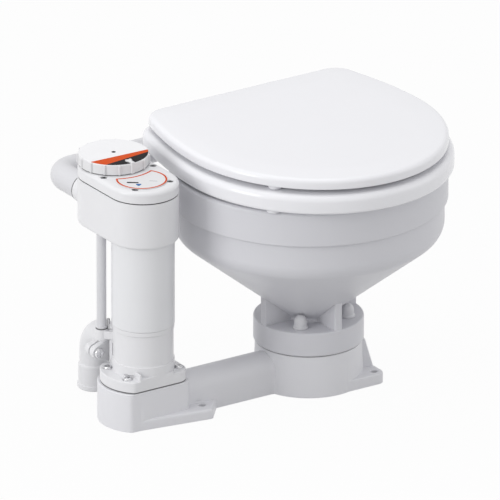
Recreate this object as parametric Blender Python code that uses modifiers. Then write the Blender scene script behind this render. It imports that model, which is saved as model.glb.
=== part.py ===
# Electric marine toilet: ceramic bowl on a moulded base, with a macerator pump column beside it.
# Metres, +Z up. Origin on the floor under the bowl, front at -Y, pump at -X.

from math import acos, asin, atan2, cos, hypot, pi, radians, sin, sqrt

import bmesh
import bpy
from mathutils import Matrix, Vector
from mathutils.geometry import convex_hull_2d

# Fits
GAP = 0.0003  # between pieces that touch
TURN_GAP = 0.0006  # round pieces that turn
OVERRUN = 0.004  # how far a cutter runs past what it cuts
ROOT = 0.003  # how far a joined shape reaches into its neighbour

# Smoothness of round shapes, in sides
BIG_STEPS, MID_STEPS, SMALL_STEPS, TINY_STEPS = 44, 28, 16, 8
ARC_POINTS = 10
HOLE_POINTS = 40
FRONT_POINTS, SIDE_POINTS, CORNER_POINTS = 16, 5, 4
FLAT = radians(0.05)  # faces closer than this in angle become one

# Pedestal under the bowl
PEDESTAL_FOOT_RADIUS = 0.0692
PEDESTAL_TOP_RADIUS = 0.0672
PEDESTAL_RISE = 0.0035  # above the pump base
WASTE_RADIUS = 0.0190
WASTE_FLOOR = 0.0090

# Feet beside the pedestal
FOOT_THICKNESS = 0.0140
FOOT_REACH_X = 0.0725
FOOT_REACH_Y = 0.0672
FOOT_INNER_Y = 0.0300
FOOT_CORNER = 0.0110
FOOT_HOLE_RADIUS = 0.0043
FOOT_HOLE_X, FOOT_HOLE_Y = 0.0610, 0.0560
FIN_ANGLE = radians(30)
FIN_OVERHANG = 0.0118
FIN_THICKNESS = 0.0060
FIN_DROP = 0.0017

# Waste channel from the pedestal to the pump base
CHANNEL_HALF_WIDTH = 0.0215
CHANNEL_DROP = 0.0001  # below the pump base's top
CHANNEL_BORE_RADIUS = 0.0150
FLARE_LENGTH = 0.0220
FLARE_SPREAD = 0.0060

# Pump axis and the flanged base under it
PUMP_CLEARANCE = 0.0219  # from the seat's side to the pump's head
PUMP_Y = 0.0070
PUMP_BASE_HEIGHT = 0.0507
FLANGE_RADIUS = 0.0543
FLANGE_HALF_DEPTH = 0.0390
FLANGE_SIDE, FLANGE_CORNER = 0.0464, 0.0180
PUMP_BASE_RADIUS = 0.0575
PUMP_BASE_SIDE, PUMP_BASE_CORNER = 0.0468, 0.0090
PUMP_WELL_RADIUS = 0.0220

# Feet beside the pump base
PUMP_FOOT_THICKNESS = 0.0130
PUMP_FOOT_END, PUMP_FOOT_TOE = 0.0930, 0.0680  # from the pump axis
PUMP_FOOT_HALF_DEPTH = 0.0480
PUMP_FOOT_CORNER = 0.0060
PUMP_FOOT_HOLE_REACH, PUMP_FOOT_HOLE_Y = 0.0640, 0.0290

# Bowl: the foot's radii and heights, then the rim's, and steps in and down from the rim
COLLAR_RADIUS = 0.0694
COLLAR_HEIGHT = 0.0312
COLLAR_CHAMFER = 0.0020
THROAT_RADIUS = 0.0300
CONE_FOOT_HEIGHT = 0.0360
RIM_RADIUS = 0.1745
BOWL_HEIGHT = 0.2352
RIM_HEIGHT = 0.0382
BAND_STEP, BAND_DROP = 0.0045, 0.0070
BAND_HEIGHT = 0.0280
CONE_STEP, CONE_DROP = 0.0120, 0.0228
RIM_EDGE = 0.0040
LIP_WIDTH, LIP_THICKNESS = 0.0315, 0.0090
RIM_WALL = 0.0145
BOWL_WALL = 0.0120
RIB_THICKNESS = 0.0110
RIB_HEIGHT = 0.0400
BOWL_GASKET_THICKNESS = 0.0010

# Deck behind the rim, which carries the seat hinges
DECK_HALF_WIDTH = 0.0950
DECK_THICKNESS = 0.0120
DECK_DROP = 0.0008
DECK_CORNER = 0.0140

# Studs that hold the bowl down, and their caps
STUD_RADIUS = 0.0040
CAP_CLEARANCE = 0.00117  # from a cap's dome to the cone
STUD_DEPTH = 0.0300
STUD_STAND = 0.0105
STUD_PLAY = 0.0006
CAP_RADIUS = 0.0080
CAP_SKIRT_RADIUS = 0.0095
CAP_SKIRT_HEIGHT = 0.0030
CAP_HEIGHT = 0.0170
DOME_SHARES = ((0.6, 0.93), (0.9, 0.7))  # of the cap's radius and height

# Macerator housing: flange, chamber and outlet port
PUMP_GASKET_THICKNESS = 0.0010
PUMP_FLANGE_THICKNESS = 0.0137
CHAMBER_RADIUS = 0.0380
CHAMBER_WALL = 0.0045
CHAMBER_HEIGHT = 0.0550
CHAMBER_FLOOR = 0.0060
FOOT_RING_RADIUS, FOOT_RING_HEIGHT = 0.0393, 0.0030
INLET_RADIUS = 0.0150
SCREW_OFFSET_X, SCREW_OFFSET_Y = 0.0380, 0.0228
PUMP_SCREW_RADIUS, PUMP_SCREW_HEAD_RADIUS = 0.0026, 0.0052
PUMP_SCREW_HEAD_HEIGHT, PUMP_SCREW_LENGTH = 0.0036, 0.0330
PUMP_SCREW_SINK = 0.0030
SCREW_EDGE = 0.0012
SCREW_FLOOR = 0.0020

# Outlet port behind the housing, with a two-bolt flange
PORT_RISE = 0.0140
PORT_RADIUS = 0.0205
PORT_BORE_RADIUS = 0.0150
PORT_REACH = 0.0502
PORT_FLANGE_THICKNESS = 0.0088
PORT_BOLT_SPREAD = 0.0395
PORT_LUG_RADIUS = 0.0085
PORT_FLANGE_RADIUS = 0.0225
PORT_SCREW_RADIUS, PORT_SCREW_HEAD_RADIUS = 0.0030, 0.0066
PORT_SCREW_HEAD_HEIGHT = 0.0036
SLOT_WIDTH, SLOT_DEPTH = 0.0016, 0.0016

# Discharge elbow and its one-way valve
ELBOW_REACH = 0.0628
ELBOW_BEND = 0.0380
ELBOW_RADIUS = 0.0185
ELBOW_BORE_RADIUS = 0.0150
ELBOW_SOCKET_RADIUS, ELBOW_SOCKET_TOP = 0.0200, 0.0335
ELBOW_RING_RADIUS, ELBOW_RING_HEIGHT, ELBOW_RING_EDGE = 0.0213, 0.0065, 0.0020
ELBOW_END_HEIGHT = 0.0015
VALVE_RING_THICKNESS, VALVE_RING_RADIUS = 0.0016, 0.0190
VALVE_LENGTH, VALVE_TIP_RADIUS, VALVE_SLIT = 0.0260, 0.0060, 0.0016

# Feed tube between the housing and the head
TUBE_X, TUBE_Y = -0.0362, 0.0395
TUBE_RADIUS = 0.0061
TUBE_BORE_RADIUS = 0.0038
TUBE_FERRULE_RADIUS, TUBE_FERRULE_HEIGHT = 0.0072, 0.0040
ARM_DROP = 0.0080
ARM_DEPTH = 0.0120
ARM_WIDTH = 0.0130
ARM_BOSS_RADIUS = 0.0080
WEB_THICKNESS, WEB_REACH = 0.0050, 0.0050

# Seal carrier between the chamber and the motor
CARRIER_RADIUS = 0.0390
CARRIER_THICKNESS = 0.0062
CARRIER_BOSS_RADIUS = 0.0150
BEARING_RADIUS, BEARING_THICKNESS = 0.0110, 0.0070
SEAL_RADIUS, SEAL_THICKNESS = 0.0100, 0.0085

# Motor
CASING_RADIUS = 0.0396
CASING_WALL = 0.0030
BEARING_BOSS_RADIUS = 0.0145
YOKE_WALL = 0.0026
MAGNET_THICKNESS = 0.0060
MAGNET_ANGLE = radians(112)
MAGNET_BASE, MAGNET_HEADROOM = 0.0150, 0.0372  # to the casing's foot and top
AIR_GAP = 0.0007
CORE_SLOTS = 8
CORE_SLOT_WIDTH, CORE_SLOT_DEPTH = 0.0036, 0.0090
WINDING_RADIUS, WINDING_LENGTH = 0.0200, 0.0070
COMMUTATOR_RADIUS, COMMUTATOR_LENGTH = 0.0105, 0.0160
BRUSH_PLATE_THICKNESS = 0.0040
BRUSH_WIDTH, BRUSH_HEIGHT = 0.0080, 0.0090
SHAFT_RADIUS = 0.0040

# Wet end of the rotor
CHOPPER_RADIUS, CHOPPER_WIDTH, CHOPPER_THICKNESS = 0.0270, 0.0090, 0.0030
CHOPPER_HUB_RADIUS = 0.0080
WHEEL_RADIUS, WHEEL_DISC, WHEEL_HEIGHT = 0.0280, 0.0030, 0.0130
WHEEL_VANES, VANE_THICKNESS = 5, 0.0026
RINSE_RADIUS, RINSE_HEIGHT, RINSE_VANES = 0.0215, 0.0120, 6

# Head housing: two round ends joined, pump end in front and knob end behind
HEAD_RADIUS = 0.0451
HEAD_SPAN = 0.0670
HEAD_HEIGHT = 0.0610
HEAD_WALL = 0.0036
HEAD_FLOOR = 0.0040
RINSE_RING_WALL = 0.0026
HEAD_GASKET_THICKNESS = 0.0008
SOCKET_RADIUS, SOCKET_LENGTH = 0.0185, 0.0230
PIPE_RADIUS, PIPE_BORE_RADIUS = 0.0170, 0.0130
SOCKET_RISE = 0.0207  # pipe's middle above the head's underside
PIPE_DROP = 0.0300  # pipe's middle below the rim's top
PIPE_SETBACK = 0.0310  # pipe's middle behind the rim
PIPE_BEND = 0.0240

# Head cover, its screws and its mode plate
COVER_HEIGHT = 0.0150
COVER_EDGE = 0.0052
COVER_THICKNESS = 0.0060
COVER_SCREW_FRONT = (0.0258, -0.0222)
COVER_SCREW_BACK = (0.0365, 0.0330)
COVER_SCREW_RADIUS, COVER_SCREW_HEAD_RADIUS = 0.0016, 0.0032
COVER_SCREW_HEAD_HEIGHT, COVER_SCREW_LENGTH = 0.0020, 0.0180
COVER_BOSS_RADIUS = 0.0052
BOSS_REACH = 1.2  # how far out from the pump axis a boss runs, against its screw's place
MODE_PLATE_RADIUS, MODE_PLATE_KNOB_SPACE, MODE_PLATE_SHIFT = 0.0322, 0.0085, -0.0018
MODE_PLATE_THICKNESS = 0.0008

# Selector knob and spindle
KNOB_RADIUS = 0.0457
KNOB_HEIGHT = 0.0140
KNOB_SKIRT_WALL = 0.0050
KNOB_GRIPS = 16
KNOB_GROOVE_WIDTH, KNOB_GROOVE_DEPTH = 0.0022, 0.0016
KNOB_EDGE = 0.0016
KNOB_TOP_THICKNESS = 0.0045
POINTER_WIDTH, POINTER_LENGTH, POINTER_RISE = 0.0080, 0.0130, 0.0016
SPINDLE_RADIUS = 0.0060
PLUG_RADIUS, PLUG_HEIGHT = 0.0140, 0.0200
PLUG_SEAT_WALL = 0.0030
SPINDLE_GRIP = 0.0050

# Bowl inlet
INLET_ELBOW_RADIUS = 0.0145
INLET_ELBOW_BEND = 0.0180
INLET_SPIGOT_RADIUS = 0.0090
INLET_BORE_RADIUS = 0.0065
INLET_SEAL_THICKNESS = 0.0030
INLET_SEAL_LENGTH = 0.0060

# Seat and lid: how far each plan runs past the rim, or stays inside what lies under it
SEAT_OVERHANG, SEAT_FRONT_OVERHANG, SEAT_CENTRE_Y = 0.0005, 0.0195, -0.0040
SEAT_TAPER, SEAT_BACK_STEP, SEAT_CORNER = 0.0190, 0.0145, 0.0280
SEAT_THICKNESS = 0.0250
SEAT_EDGE = 0.0070
SEAT_LIFT = 0.0040
SEAT_HOLE_STEP, SEAT_HOLE_FRONT_STEP, SEAT_HOLE_BACK_STEP = 0.0350, 0.0080, 0.0430
LID_STEP, LID_FRONT_STEP, LID_CENTRE_Y = 0.0050, 0.0062, 0.0030
LID_TAPER, LID_BACK_STEP, LID_CORNER = 0.0180, 0.0060, 0.0300
LID_THICKNESS = 0.0150
LID_EDGE = 0.0060
LID_LIFT = 0.0060
LID_RECESS_DEPTH, LID_RECESS_BORDER = 0.0060, 0.0140
SIDE_FULLNESS = 1.2  # how straight the seat's sides start, before they draw in
BUMPER_RADIUS = 0.0085
BUMPER_ANGLE = radians(222)
SEAT_BUMPER_INSET, LID_BUMPER_STEP = 0.0040, 0.0095
BUMPER_STEM_RADIUS, BUMPER_STEM_LENGTH = 0.0030, 0.0050

# Seat hinges
HINGE_X = 0.0700
HINGE_SETBACK = 0.0020
HINGE_HEIGHT = 0.0245
HINGE_EYE_RADIUS = 0.0090
HINGE_POST_WIDTH = 0.0160
HINGE_LUG_WIDTH = 0.0140
HINGE_FOOT_RADIUS, HINGE_FOOT_HEIGHT = 0.0110, 0.0040
HINGE_NECK_RADIUS = 0.0075
HINGE_ROD_RADIUS = 0.0035
HINGE_BOLT_RADIUS, HINGE_BOLT_LENGTH = 0.0036, 0.0090
HINGE_NUT_RADIUS, HINGE_NUT_HEIGHT = 0.0080, 0.0055
LUG_ROOT = 0.0100
LID_KNEE_RADIUS, LID_KNEE_DROP, LID_KNEE_STEP = 0.0040, 0.0015, 0.0055

# Places and radii that follow from the sizes above
PEDESTAL_HEIGHT = PUMP_BASE_HEIGHT + PEDESTAL_RISE
CHANNEL_HEIGHT = PUMP_BASE_HEIGHT - CHANNEL_DROP
FIN_REACH = PEDESTAL_FOOT_RADIUS + FIN_OVERHANG
FIN_TOP = PEDESTAL_HEIGHT - FIN_DROP
BAND_RADIUS = RIM_RADIUS - BAND_STEP
CONE_TOP_RADIUS = BAND_RADIUS - CONE_STEP
RIM_CHANNEL_RADIUS = RIM_RADIUS - RIM_WALL
MOUTH_RADIUS = RIM_RADIUS - LIP_WIDTH
HINGE_Y = RIM_RADIUS + HINGE_SETBACK
LID_KNEE_Y = HINGE_Y - LID_KNEE_STEP
SEAT_HALF_WIDTH = RIM_RADIUS + SEAT_OVERHANG
SEAT_FRONT_REACH = RIM_RADIUS + SEAT_FRONT_OVERHANG + SEAT_CENTRE_Y
SEAT_BACK_HALF_WIDTH = SEAT_HALF_WIDTH - SEAT_TAPER
SEAT_BACK_Y = RIM_RADIUS - SEAT_BACK_STEP
SEAT_HOLE_HALF_WIDTH = MOUTH_RADIUS - SEAT_HOLE_STEP
SEAT_HOLE_FRONT, SEAT_HOLE_BACK = MOUTH_RADIUS - SEAT_HOLE_FRONT_STEP, MOUTH_RADIUS - SEAT_HOLE_BACK_STEP
LID_HALF_WIDTH = SEAT_HALF_WIDTH - LID_STEP
LID_FRONT_REACH = SEAT_FRONT_REACH - SEAT_CENTRE_Y + LID_CENTRE_Y - LID_FRONT_STEP
LID_BACK_HALF_WIDTH = LID_HALF_WIDTH - LID_TAPER
LID_BACK_Y = SEAT_BACK_Y - LID_BACK_STEP
SEAT_BUMPER_CIRCLE = RIM_RADIUS - SEAT_BUMPER_INSET
LID_BUMPER_CIRCLE = SEAT_BUMPER_CIRCLE - LID_BUMPER_STEP
PUMP_X = -(SEAT_HALF_WIDTH + PUMP_CLEARANCE + HEAD_RADIUS)
PORT_FACE_Y = PUMP_Y + PORT_REACH
ELBOW_Y = PORT_FACE_Y + ELBOW_REACH
PIPE_Y = RIM_RADIUS + PIPE_SETBACK
BOWL_BASE = PEDESTAL_HEIGHT + BOWL_GASKET_THICKNESS + 2 * GAP
RIM_TOP = BOWL_BASE + BOWL_HEIGHT
RIM_LOW_HEIGHT = BOWL_HEIGHT - RIM_HEIGHT
BAND_HIGH_HEIGHT = RIM_LOW_HEIGHT - BAND_DROP
BAND_LOW_HEIGHT = BAND_HIGH_HEIGHT - BAND_HEIGHT
CONE_TOP_HEIGHT = BAND_LOW_HEIGHT - CONE_DROP
CONE_SLOPE = (CONE_TOP_RADIUS - THROAT_RADIUS) / (CONE_TOP_HEIGHT - CONE_FOOT_HEIGHT)
DOME_RADIUS, DOME_HEIGHT = CAP_RADIUS * DOME_SHARES[0][0], CAP_HEIGHT * DOME_SHARES[0][1]
CONE_AT_DOME = THROAT_RADIUS + CONE_SLOPE * (COLLAR_HEIGHT + GAP + DOME_HEIGHT - CONE_FOOT_HEIGHT)
STUD_CIRCLE_RADIUS = CONE_AT_DOME + CAP_CLEARANCE + DOME_RADIUS
COLLAR_TOP = BOWL_BASE + COLLAR_HEIGHT
SEAT_LOW = RIM_TOP + SEAT_LIFT
SEAT_TOP = SEAT_LOW + SEAT_THICKNESS
LID_LOW = SEAT_TOP + LID_LIFT
DECK_TOP = RIM_TOP - DECK_DROP
LID_TOP = LID_LOW + LID_THICKNESS
HINGE_Z = RIM_TOP + HINGE_HEIGHT
LID_KNEE_Z = LID_LOW - LID_KNEE_DROP
FLANGE_LOW = PUMP_BASE_HEIGHT + PUMP_GASKET_THICKNESS + 2 * GAP
FLANGE_TOP = FLANGE_LOW + PUMP_FLANGE_THICKNESS
PORT_HEIGHT = FLANGE_TOP + PORT_RISE
CHAMBER_TOP = FLANGE_TOP + CHAMBER_HEIGHT
ARM_TOP = CHAMBER_TOP - ARM_DROP
CARRIER_LOW = CHAMBER_TOP + GAP
CARRIER_TOP = CARRIER_LOW + CARRIER_THICKNESS
CASING_LOW = CARRIER_TOP + GAP
PIPE_HEIGHT = RIM_TOP - PIPE_DROP
HEAD_LOW = PIPE_HEIGHT - SOCKET_RISE
CASING_TOP = HEAD_LOW - GAP
HEAD_TOP = HEAD_LOW + HEAD_HEIGHT
COVER_LOW = HEAD_TOP + HEAD_GASKET_THICKNESS + 2 * GAP
COVER_TOP = COVER_LOW + COVER_HEIGHT
KNOB_LOW = COVER_TOP + TURN_GAP
KNOB_TOP = KNOB_LOW + KNOB_HEIGHT
YOKE_RADIUS = CASING_RADIUS - CASING_WALL - GAP
YOKE_BORE = YOKE_RADIUS - YOKE_WALL
MAGNET_LOW, MAGNET_TOP = CASING_LOW + MAGNET_BASE, CASING_TOP - MAGNET_HEADROOM
MAGNET_RADIUS = YOKE_BORE - GAP
CORE_RADIUS = MAGNET_RADIUS - MAGNET_THICKNESS - AIR_GAP
KNOB_Y = PUMP_Y + HEAD_SPAN
CHANNEL_CENTRE = CHANNEL_HEIGHT - CHANNEL_HALF_WIDTH

# Colours: linear red, green, blue, then roughness and metallic
WHITE_GLOSS = (0.80, 0.80, 0.81, 0.28, 0.0)
WHITE_SATIN = (0.76, 0.76, 0.77, 0.42, 0.0)
CERAMIC = (0.72, 0.72, 0.74, 0.12, 0.0)
RUBBER = (0.03, 0.03, 0.03, 0.75, 0.0)
GREY_RUBBER = (0.30, 0.30, 0.31, 0.70, 0.0)
STEEL = (0.62, 0.62, 0.63, 0.32, 1.0)
IRON = (0.20, 0.20, 0.21, 0.55, 1.0)
COPPER = (0.62, 0.28, 0.14, 0.40, 1.0)
FERRITE = (0.06, 0.06, 0.065, 0.70, 0.0)


# Scene and helpers
def collection(name):
    made = bpy.data.collections.new(name)
    bpy.context.scene.collection.children.link(made)
    return made


for old in list(bpy.data.objects):
    bpy.data.objects.remove(old, do_unlink=True)
parts = collection("electric_marine_toilet")
cutters = collection("cutters")


def helper(data):
    """A shape to build with: hidden in renders until it becomes a part."""
    obj = bpy.data.objects.new("shape", data)
    obj.hide_render = True
    obj.display_type = "WIRE"
    cutters.objects.link(obj)
    return obj


def plain(obj):
    """The object's evaluated shape as one closed mesh in world space."""
    bpy.context.view_layer.update()
    graph = bpy.context.evaluated_depsgraph_get()
    mesh = bpy.data.meshes.new_from_object(obj.evaluated_get(graph))
    mesh.transform(obj.matrix_world)
    work = bmesh.new()
    work.from_mesh(mesh)
    bmesh.ops.remove_doubles(work, verts=work.verts, dist=GAP / 30)
    bmesh.ops.dissolve_limit(work, angle_limit=FLAT, verts=work.verts, edges=work.edges)
    bmesh.ops.recalc_face_normals(work, faces=work.faces)
    work.to_mesh(mesh)
    work.free()
    bpy.data.objects.remove(obj)
    return helper(mesh)


def combine(shape, joins=(), cuts=()):
    """Joins shapes to the first, then cuts others from it."""
    for operation, others in (("UNION", joins), ("DIFFERENCE", cuts)):
        for other in others:
            modifier = shape.modifiers.new(operation, "BOOLEAN")
            modifier.operation = operation
            modifier.solver = "EXACT"
            modifier.object = other
    return plain(shape)


def material(name, finish):
    made = bpy.data.materials.new(name)
    made.use_nodes = True
    shader = made.node_tree.nodes["Principled BSDF"]
    red, green, blue, roughness, metallic = finish
    shader.inputs["Base Color"].default_value = (red, green, blue, 1)
    shader.inputs["Roughness"].default_value = roughness
    shader.inputs["Metallic"].default_value = metallic
    made.diffuse_color = (red, green, blue, 1)
    return made


def part(name, shape, finish, origin=(0, 0, 0), parent=None):
    """Makes a shape the named part, with its origin where it is asked for."""
    shape.name = name
    shape.data.name = name
    shape.data.materials.clear()
    shape.data.materials.append(material(name, finish))
    shape.data.transform(Matrix.Translation(-Vector(origin)))
    shape.location = origin
    shape.data.shade_smooth()
    shape.data.set_sharp_from_angle(angle=radians(35))
    shape.hide_render = False
    shape.display_type = "TEXTURED"
    cutters.objects.unlink(shape)
    parts.objects.link(shape)
    if parent:
        bpy.context.view_layer.update()
        shape.parent = parent
        shape.matrix_parent_inverse = parent.matrix_world.inverted()
    return shape


def pivot(name, place, parent=None):
    """An empty on a joint's axis."""
    empty = bpy.data.objects.new(name, None)
    empty.location = place
    parts.objects.link(empty)
    if parent:
        bpy.context.view_layer.update()
        empty.parent = parent
        empty.matrix_parent_inverse = parent.matrix_world.inverted()
    return empty


def turned(profile, steps=SMALL_STEPS, at=(0, 0, 0), ring=False, turn=None):
    """Turns (radius, height) points about Z. They run down the outer side; a ring's go back up its bore."""
    mesh = bpy.data.meshes.new("turned")
    count = len(profile)
    edges = [(i, i + 1) for i in range(count - 1)] + ([(count - 1, 0)] if ring else [])
    mesh.from_pydata([(radius, 0, height) for radius, height in profile], edges, [])
    obj = helper(mesh)
    screw = obj.modifiers.new("turn", "SCREW")
    screw.steps = steps
    screw.render_steps = steps
    screw.use_merge_vertices = True
    screw.merge_threshold = GAP / 30
    obj.location = at
    if turn:
        obj.rotation_euler = turn
    return obj


def disc(radius, low, high, at=(0, 0), steps=SMALL_STEPS):
    return turned([(0, high), (radius, high), (radius, low), (0, low)], steps, (*at, 0))


def holes(radius, low, high, places):
    """Small upright cutters, one at each place."""
    return [disc(radius, low, high, place, TINY_STEPS) for place in places]


def ring(outer, inner, low, high, at=(0, 0), steps=SMALL_STEPS):
    return turned([(outer, high), (outer, low), (inner, low), (inner, high)], steps, (*at, 0), True)


def rod_along_y(radius, start, end, x, z, steps=SMALL_STEPS):
    """A cylinder along Y between two places."""
    length = end - start
    points = [(0, length), (radius, length), (radius, 0), (0, 0)]
    return turned(points, steps, (x, start, z), turn=(-pi / 2, 0, 0))


def rod_along_x(radius, start, end, y, z, steps=SMALL_STEPS):
    length = end - start
    points = [(0, length), (radius, length), (radius, 0), (0, 0)]
    return turned(points, steps, (start, y, z), turn=(0, pi / 2, 0))


def block(low, high, edge=0):
    """A box between two corners, with its edges rounded if asked."""
    corners = [(x, y, z) for z in (low[2], high[2]) for y in (low[1], high[1]) for x in (low[0], high[0])]
    faces = [(0, 2, 3, 1), (4, 5, 7, 6), (0, 1, 5, 4), (2, 6, 7, 3), (0, 4, 6, 2), (1, 3, 7, 5)]
    mesh = bpy.data.meshes.new("block")
    mesh.from_pydata(corners, [], faces)
    obj = helper(mesh)
    if edge:
        bevel = obj.modifiers.new("edge", "BEVEL")
        bevel.width = edge
        bevel.segments = 2
    return obj


def plate(outlines, low, high, edge=0, turn=None, at=(0, 0, 0)):
    """A flat shape between two heights, from closed outlines; an inner outline is a hole."""
    curve = bpy.data.curves.new("plate", "CURVE")
    curve.dimensions = "2D"
    curve.fill_mode = "BOTH"
    curve.extrude = (high - low) / 2 - edge
    curve.bevel_depth = edge
    curve.bevel_resolution = 1
    curve.offset = -edge
    for outline in outlines:
        spline = curve.splines.new("POLY")
        spline.points.add(len(outline) - 1)
        for point, (x, y) in zip(spline.points, outline):
            point.co = (x, y, 0, 1)
        spline.use_cyclic_u = True
    obj = helper(curve)
    middle = Vector((0, 0, (low + high) / 2))
    if turn:
        obj.rotation_euler = turn
        middle.rotate(obj.rotation_euler)
    obj.location = middle + Vector(at)
    return plain(obj)


def tube(points, radius, resolution=3):
    """A round bar along points, with closed ends."""
    curve = bpy.data.curves.new("tube", "CURVE")
    curve.dimensions = "3D"
    curve.bevel_depth = radius
    curve.bevel_resolution = resolution
    curve.use_fill_caps = True
    spline = curve.splines.new("POLY")
    spline.points.add(len(points) - 1)
    for point, place in zip(spline.points, points):
        point.co = (*place, 1)
    return plain(helper(curve))


def circle(radius, at=(0, 0), count=SMALL_STEPS, start=0.0):
    return [
        (at[0] + radius * cos(start + 2 * pi * i / count), at[1] + radius * sin(start + 2 * pi * i / count))
        for i in range(count)
    ]


def hull(circles, count=SMALL_STEPS):
    """The outline stretched round circles, each given as (radius, x, y)."""
    points = [p for radius, x, y in circles for p in circle(radius, (x, y), count)]
    return [points[i] for i in convex_hull_2d(points)]


def rounded(corners, radii, count=4):
    """A polygon with some of its corners rounded; the radii go with the corners."""
    outline = []
    for i, (corner, radius) in enumerate(zip(corners, radii)):
        if not radius:
            outline.append(corner)
            continue
        point = Vector(corner)
        before = Vector(corners[i - 1]) - point
        after = Vector(corners[(i + 1) % len(corners)]) - point
        half = before.angle(after) / 2
        back = min(radius * cos(half) / sin(half), before.length * 0.48, after.length * 0.48)
        start = point + before.normalized() * back
        end = point + after.normalized() * back
        for step in range(count + 1):
            t = step / count
            place = start * (1 - t) ** 2 + point * 2 * t * (1 - t) + end * t ** 2
            outline.append((place.x, place.y))
    return outline


def bent(points, radius, count=6):
    """A route through points, with round bends of one radius between them."""
    route = [Vector(points[0])]
    for before, corner, after in zip(points, points[1:], points[2:]):
        corner = Vector(corner)
        back = (Vector(before) - corner).normalized()
        ahead = (Vector(after) - corner).normalized()
        half = back.angle(ahead) / 2
        middle = corner + (back + ahead).normalized() * radius / sin(half)
        start = corner + back * radius * cos(half) / sin(half) - middle
        end = corner + ahead * radius * cos(half) / sin(half) - middle
        sweep = pi - 2 * half
        square = (end - start * cos(sweep)) / sin(sweep)
        angles = [sweep * i / count for i in range(count + 1)]
        route += [middle + start * cos(angle) + square * sin(angle) for angle in angles]
    route.append(Vector(points[-1]))
    return route


def pump_plan(arc_radius, side, corner, inset=0.0):
    """Round about the pump axis on the left, flat in front and behind, straight on the right."""
    arc_radius, side, half = arc_radius - inset, side - inset, FLANGE_HALF_DEPTH - inset
    lean = asin(half / arc_radius)
    left = [pi - lean + 2 * lean * i / ARC_POINTS for i in range(ARC_POINTS + 1)]
    corners = [(arc_radius * cos(a), arc_radius * sin(a)) for a in left] + [(side, -half), (side, half)]
    outline = rounded(corners, [0] * len(left) + [corner, corner])
    return [about_pump(point) for point in outline]


def two_ends(radius, span, at):
    """Two half circles joined by straight sides that run along Y."""
    half = [pi * i / ARC_POINTS for i in range(ARC_POINTS + 1)]
    back = [(radius * cos(a), span + radius * sin(a)) for a in half]
    front = [(-radius * cos(a), -radius * sin(a)) for a in half]
    return [(at[0] + x, at[1] + y) for x, y in back + front]


def seat_plan(half_width, reach, centre_y, back_half_width, back_y, corner, inset=0.0):
    """Half an ellipse in front, sides that draw in to the back, and a straight back with round corners."""
    half_width, reach, back_half_width = half_width - inset, reach - inset, back_half_width - inset
    back_y, corner = back_y - inset, max(corner - inset, corner / 4)
    turns = [pi / 2 * i / FRONT_POINTS for i in range(FRONT_POINTS)]
    side = [(half_width * sin(t), centre_y - reach * cos(t)) for t in turns]
    start = Vector((half_width, centre_y))
    centre = Vector((back_half_width - corner, back_y - corner))
    third = (centre.y - start.y) / 3
    first = start + Vector((0, SIDE_FULLNESS * third))
    lean = atan2(start.x - back_half_width, centre.y - first.y)
    end = centre + corner * Vector((cos(lean), sin(lean)))
    second = end + third * Vector((sin(lean), -cos(lean)))
    for i in range(SIDE_POINTS):
        t = i / SIDE_POINTS
        place = start * (1 - t) ** 3 + end * t ** 3
        place += first * 3 * t * (1 - t) ** 2 + second * 3 * t ** 2 * (1 - t)
        side.append((place.x, place.y))
    for i in range(CORNER_POINTS + 1):
        a = lean + (pi / 2 - lean) * i / CORNER_POINTS
        side.append((centre.x + corner * cos(a), centre.y + corner * sin(a)))
    mirrored = [(-x, y) for x, y in reversed(side) if x > half_width / 1000]
    return side + mirrored


def about_pump(shape_at):
    return (PUMP_X + shape_at[0], PUMP_Y + shape_at[1])


def four_places(x, y):
    return [(sx * x, sy * y) for sy in (-1, 1) for sx in (-1, 1)]


def cross_recess(radius, depth, top, at):
    """Two crossed slots for a screwdriver, cut down from a head's top."""
    wide, thin = radius / 2, radius / 6
    x, y = at
    across = block((x - wide, y - thin, top - depth), (x + wide, y + thin, top + OVERRUN))
    along = block((x - thin, y - wide, top - depth), (x + thin, y + wide, top + OVERRUN))
    return combine(across, joins=[along])


def pan_screw(shank, length, head, head_height, edge, under_head, at):
    """A pan-head screw pointing down, with a cross recess."""
    top = under_head + head_height
    profile = [(0, top), (head - edge, top), (head, top - edge), (head, under_head), (shank, under_head),
               (shank, under_head - length), (0, under_head - length)]
    screw = turned(profile, TINY_STEPS, (*at, 0))
    return combine(screw, cuts=[cross_recess(head, edge * 1.5, top, at)])


# Base casting: pedestal, feet, waste channel and pump base in one moulding.
# Its shapes reach below the floor by different amounts, and one flat cut trims them all at the floor.
def foot(side):
    near, far = side * FOOT_INNER_Y, side * FOOT_REACH_Y
    corners = [(0, far), (FOOT_REACH_X, far), (FOOT_REACH_X, near), (0, near)]
    return plate([rounded(corners, [0, FOOT_CORNER, FOOT_CORNER, 0])], -2 * ROOT, FOOT_THICKNESS)


def fin(side):
    """A rib from high on the pedestal down to the foot."""
    inside = PEDESTAL_TOP_RADIUS - 2 * ROOT
    outline = [(inside, FOOT_THICKNESS - ROOT), (FIN_REACH, FOOT_THICKNESS - ROOT),
               (FIN_REACH, FOOT_THICKNESS), (PEDESTAL_TOP_RADIUS + ROOT, FIN_TOP), (inside, FIN_TOP)]
    upright = plate([outline], -FIN_THICKNESS / 2, FIN_THICKNESS / 2, turn=(pi / 2, 0, 0))
    upright.rotation_euler = (0, 0, side * FIN_ANGLE)
    return upright


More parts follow.
